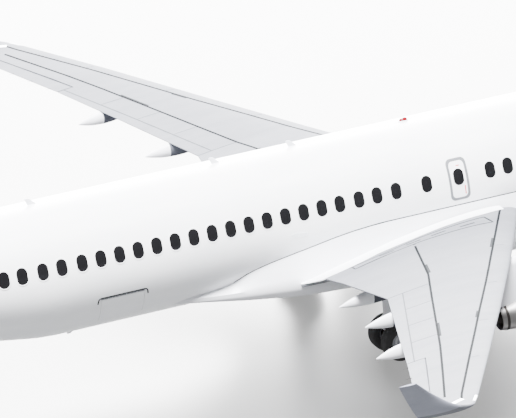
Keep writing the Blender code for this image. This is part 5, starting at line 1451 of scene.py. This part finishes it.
# Forward of the leg and height
HOSE_PATH = ((0.15, 2.50), (0.15, 1.30), (0.12, 0.74), (0.10, 0.60))
DISC_STACK = [(0.240, 0.135), (0.240, 0.198), (0.246, 0.205),
              *((0.262 + 0.011 * step, 0.205 - 0.008 * (step % 2)) for step in range(10)), (0.368, 0.135)]
for label, side in SIDES:
    x, y, centre = MAIN_GEAR_X, side * MAIN_GEAR_Y, MAIN_AXLES[label]
    leg, piston, lines, brakes = shells(4)
    for row in MAIN_CYLINDER:
        post(leg, x, y, *row)
    brace_foot, brace_top = spot(x, y, 1.62), spot(x, side * 2.55, 2.52)
    bar(leg, brace_foot, brace_top, 0.055, count=32)
    knee = brace_foot.lerp(brace_top, 0.52)
    bar(leg, knee + AHEAD * -0.09, knee + AHEAD * 0.09, 0.070, count=24)
    bar(leg, knee, spot(x, y - side * 0.05, 2.34), 0.024, count=16)
    for height in (1.45, 2.05):
        for push in (-0.035, 0.035):
            bar(leg, spot(x + push, y + side * 0.05, height), spot(x + push, y + side * 0.202, height), 0.030)
    torque_links(leg, x, y, (-0.13, 1.30), (-0.40, 0.95), (-0.10, 0.62), 0.075, 0.022)
    piece(f"main_leg_forging_{label}", leg, GEAR_ENAMEL, instead=f"main_gear_leg_{label}")
    post(piston, x, y, 0.62, 1.24, 0.085)
    piece(f"main_leg_piston_{label}", piston, CHROME)
    axle_collar(f"main_axle_collar_{label}", "main", centre)
    for (ahead, high), (foot, low) in zip(HOSE_PATH, HOSE_PATH[1:]):
        for push in (-0.03, 0.03):
            bar(lines, spot(x + ahead, y + push, high), spot(x + foot, y + push, low), 0.009, count=10)
    piece(f"brake_hoses_{label}", lines, TYRE_RUBBER)
    for sign in (1, -1):
        for turn in circle(6, 0.5):
            ring = 0.170 * Vector((math.sin(turn), 0.0, math.cos(turn)))
            bar(brakes, centre + PORT * (sign * 0.205) + ring,
                centre + PORT * (sign * 0.245) + ring, 0.024, 0.027, 20)
        for push in (-0.07, 0.07):
            bar(brakes, centre + Vector((push, sign * 0.06, 0.10)),
                centre + Vector((push * 1.3, sign * 0.245, 0.155)), 0.026, count=16)
        name = f"brake_discs_{'outer' if sign == side else 'inner'}_{label}"
        piece(name, turned(DISC_STACK, axle_place(centre, sign), True), DARK_METAL, sharp=25)
    piece(f"brake_cylinders_{label}", brakes, RIM_METAL)
    door_plate(f"main_leg_door_{label}", f"main_gear_door_{label}", 0.11)
print("main legs stand", 2 * MAIN_GEAR_Y, "m apart")

# %% [markdown]
# The nose leg carries little weight and steers. Its cylinder is held by a brace that folds
# forward, the bright piston below turns with the wheels, and two lamps on the cylinder light
# the way. A lug in front takes the bar of the tug that moves the aircraft.

# %% Nose gear and jacking pads
x = NOSE_GEAR_X
leg, turning, lamps, housings, links, pad = shells(6)
for row in NOSE_CYLINDER:
    post(leg, x, 0.0, *row)
for push in (-0.055, 0.055):
    bar(leg, spot(x, push, 1.38), spot(x + 0.72, push, 2.16), 0.030, count=20)
bar(leg, spot(x + 0.36, -0.08, 1.77), spot(x + 0.36, 0.08, 1.77), 0.040, count=20)
bar(leg, spot(x + 0.06, -0.17, 1.60), spot(x + 0.06, 0.17, 1.60), 0.022, count=16)
for side in (-1, 1):
    bar(housings, spot(x + 0.04, side * 0.17, 1.60), spot(x + 0.13, side * 0.17, 1.60), 0.055, 0.078, 32)
    bar(lamps, spot(x + 0.128, side * 0.17, 1.60), spot(x + 0.138, side * 0.17, 1.60), 0.072, 0.066, 32)
piece("nose_leg_forging", leg, GEAR_ENAMEL, instead="nose_gear_leg")
piece("taxi_lamp_housings", housings, DARK_METAL)
piece("taxi_lamp_lenses", lamps, PALE_LENS_AND_HIGHLIGHT)
STEERED = "nose_steering_piston"
post(turning, x, 0.0, 0.41, 1.0495, 0.055)
piece("nose_leg_piston", turning, CHROME, body=STEERED, instead="nose_gear_piston")
axle_collar("nose_axle_collar", "nose", NOSE_AXLE, STEERED)
post(links, x, 0.0, 0.93, 1.02, 0.078, 40)
post(links, x, 0.0, 0.405, 0.47, 0.068, 40)
torque_links(links, x, 0.0, (-0.08, 0.97), (-0.27, 0.72), (-0.07, 0.46), 0.045, 0.014)
bar(links, spot(x + 0.055, 0.0, 0.345), spot(x + 0.15, 0.0, 0.345), 0.034, 0.026, 24)
piece("nose_torque_links", links, GEAR_ENAMEL, body=STEERED)
for label, side in SIDES:
    low, high = door_plate(f"nose_bay_door_{label}", f"nose_gear_door_{label}", 0.09)
    arms, wing_pad = shells(2)
    inner = low.y if side > 0 else high.y
    for share in (0.2, 0.5, 0.8):
        along = low.x + (high.x - low.x) * share
        foot, top = Vector((along, inner, low.z + 0.12)), Vector((along, inner, high.z - 0.06))
        bar(arms, foot, top, 0.012, count=10)
    piece(f"nose_bay_door_ribs_{label}", arms, GEAR_ENAMEL)
    foot = on_wing(side, -2.30, 4.30, upper=False)
    bar(wing_pad, foot + UP * 0.08, foot - UP * 0.03, 0.07, count=32)
    piece(f"wing_jacking_pad_{label}", wing_pad, GEAR_ENAMEL)
bar(pad, at(10.30, 0.0, -1.80), at(10.30, 0.0, -1.88), 0.07, count=32)
piece("nose_jacking_pad", pad, GEAR_ENAMEL)
print("wheelbase", round(NOSE_GEAR_X - MAIN_GEAR_X, 2), "m")

# %% [markdown]
# In dry air an aircraft gathers static charge, which would crackle in the radios. Thin wicks
# of carbon fibre on the trailing edges let it drain away. They sit on the moving surfaces
# and swing with them.

# %% Static wicks
WICKS_OUT, WICK_REACH = (12.95, 13.75, 14.55, 15.35, 16.05), 0.14
ELEVATOR_WICKS = (2.6, 3.6, 4.6, 5.5)
TAIL_WICKS = {"fin": ("rudder", (3.2, 4.6, 6.0, 7.3)), "stabiliser_left": ("elevator_left", ELEVATOR_WICKS),
              "stabiliser_right": ("elevator_right", ELEVATOR_WICKS)}


def wicks(name, feet, body):
    """Make a row of wicks that point aft from the given feet."""
    shape = bmesh.new()
    for foot in feet:
        root = foot + AHEAD * 0.02
        bar(shape, root, foot - AHEAD * 0.02, 0.009, 0.007, 10)
        bar(shape, foot - AHEAD * 0.018, foot - AHEAD * WICK_REACH, 0.004, 0.003, 8)
    piece(name, shape, DARK_METAL, body=body)


for label, side in SIDES:
    rows = [(out, wing_row(out)) for out in WICKS_OUT]
    wicks(f"aileron_wicks_{label}", [at(row[2], side * out, row[3]) for out, row in rows], f"aileron_{label}")
for part, root, tip, _ in TAIL_SURFACES:
    body, places = TAIL_WICKS[part]
    wicks(f"{body}_wicks", [tail_place(tail_row(root, tip, place), 1.0) for place in places], body)
print("static wicks", 2 * len(WICKS_OUT) + sum(len(places) for _, places in TAIL_WICKS.values()))

# %% [markdown]
# The photograph was taken from far off with a long lens, so its lines hardly converge. The
# camera is placed by its angle round the aircraft, its height and a slight roll, which
# together line up the row of windows and both wings.

# %% Camera
TURN, RISE, ROLL = (math.radians(angle) for angle in (-20.5947, 20.2360, -5.4390))
DISTANCE, SHIFT_ACROSS, SHIFT_UP, FOCAL_LENGTH = 130.596, -4.8706, -0.8512, 330.04
back = Vector((math.sin(TURN) * math.cos(RISE), -math.cos(TURN) * math.cos(RISE), math.sin(RISE)))
level = Vector((math.cos(TURN), math.sin(TURN), 0.0))
upright = back.cross(level)
across = math.cos(ROLL) * level + math.sin(ROLL) * upright
upward = math.cos(ROLL) * upright - math.sin(ROLL) * level
lens = bpy.data.cameras.new("long_lens")
lens.lens, lens.sensor_width, lens.clip_start, lens.clip_end = FOCAL_LENGTH, 36.0, 1.0, 1000.0
camera = loose("long_lens", lens)
place = back * DISTANCE + across * SHIFT_ACROSS + upward * SHIFT_UP + at(0.0, 0.0, 0.0)
camera.matrix_world = Matrix.Translation(place) @ Matrix((across, upward, back)).transposed().to_4x4()
bpy.context.scene.camera = camera
print("camera at", [round(value, 2) for value in place])

# %% [markdown]
# A white studio gives soft light from everywhere. One large source stands almost overhead and
# a weaker one behind the aircraft, whose sheen on the satin floor turns the ground white. The
# floor also glows a little of itself, like a lit photo table, so that shadows stay light.

# %% Studio
FLOOR_HALF, FLOOR_DROP = 400.0, -0.001


def sun(name, energy, spread, toward):
    """Add a distant light of a soft width in degrees, from the direction given."""
    data = bpy.data.lights.new(name, "SUN")
    data.energy, data.angle = energy, math.radians(spread)
    light = loose(name, data)
    light.rotation_euler = toward.to_track_quat("Z", "Y").to_euler()
    return light


world = bpy.data.worlds.new("white_studio")
bpy.context.scene.world = world
world.use_nodes = True
sky = world.node_tree.nodes["Background"].inputs
sky["Color"].default_value, sky["Strength"].default_value = paint_card("FFFFFF"), 0.52
key = sun("key_light", 36.0, 24, Vector((-0.11, -0.27, 0.95)).normalized())
rim = sun("back_light", 32.0, 46, Vector((-back.x, -back.y, back.z)))
floor_mesh = bpy.data.meshes.new("studio_floor")
floor_mesh.from_pydata([(x * FLOOR_HALF, y * FLOOR_HALF, FLOOR_DROP) for x, y in
                        ((-1, -1), (1, -1), (1, 1), (-1, 1))], [], [(0, 1, 2, 3)])
floor = loose("studio_floor", floor_mesh)
FLOOR_PAINT, floor_shader = new_finish("satin_studio_floor", Roughness=0.30, IOR=1.5, Emission_Strength=0.42)
floor_place = add_node(FLOOR_PAINT, "ShaderNodeTexCoord").outputs["Object"]
floor_cloud = add_node(FLOOR_PAINT, "ShaderNodeTexNoise", {"Vector": floor_place, "Scale": 0.15})
floor_tone = add_node(FLOOR_PAINT, "ShaderNodeMix", {"Factor": floor_cloud.outputs["Fac"],
                      "A": paint_card("252627"), "B": paint_card("232425")}, data_type="RGBA")
FLOOR_PAINT.node_tree.links.new(floor_tone.outputs["Result"], floor_shader.inputs["Base Color"])
floor_mesh.materials.append(FLOOR_PAINT)

# %% [markdown]
# Whatever kept its model shape still needs a real finish, so each model part that shows is
# given the material of what it is made of.

# %% Finishes of the model parts
FINISH_OF_SLOT = {"white_paint": FAIRING_PAINT_AND_SHADE, "grey_paint": WING_ENAMEL, "bare_metal": NOZZLE_METAL,
                  "gear_paint": GEAR_ENAMEL, "tyre_rubber": TYRE_RUBBER, "dark_glass": ACRYLIC,
                  "dark_metal": DARK_METAL}
FINISH_OF_PART = {"fan_left": BLADE_METAL, "fan_right": BLADE_METAL, "nose_rims": RIM_METAL,
                  "main_rims_left": RIM_METAL, "main_rims_right": RIM_METAL, "nose_gear_piston": CHROME}
for name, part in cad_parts.items():
    for slot in part.material_slots:
        kind = slot.material.name.split(".")[0] if slot.material else "white_paint"
        slot.link = "OBJECT"
        slot.material = FINISH_OF_PART.get(name, FINISH_OF_SLOT.get(kind, FAIRING_PAINT_AND_SHADE))
print("model parts dressed", len(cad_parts))
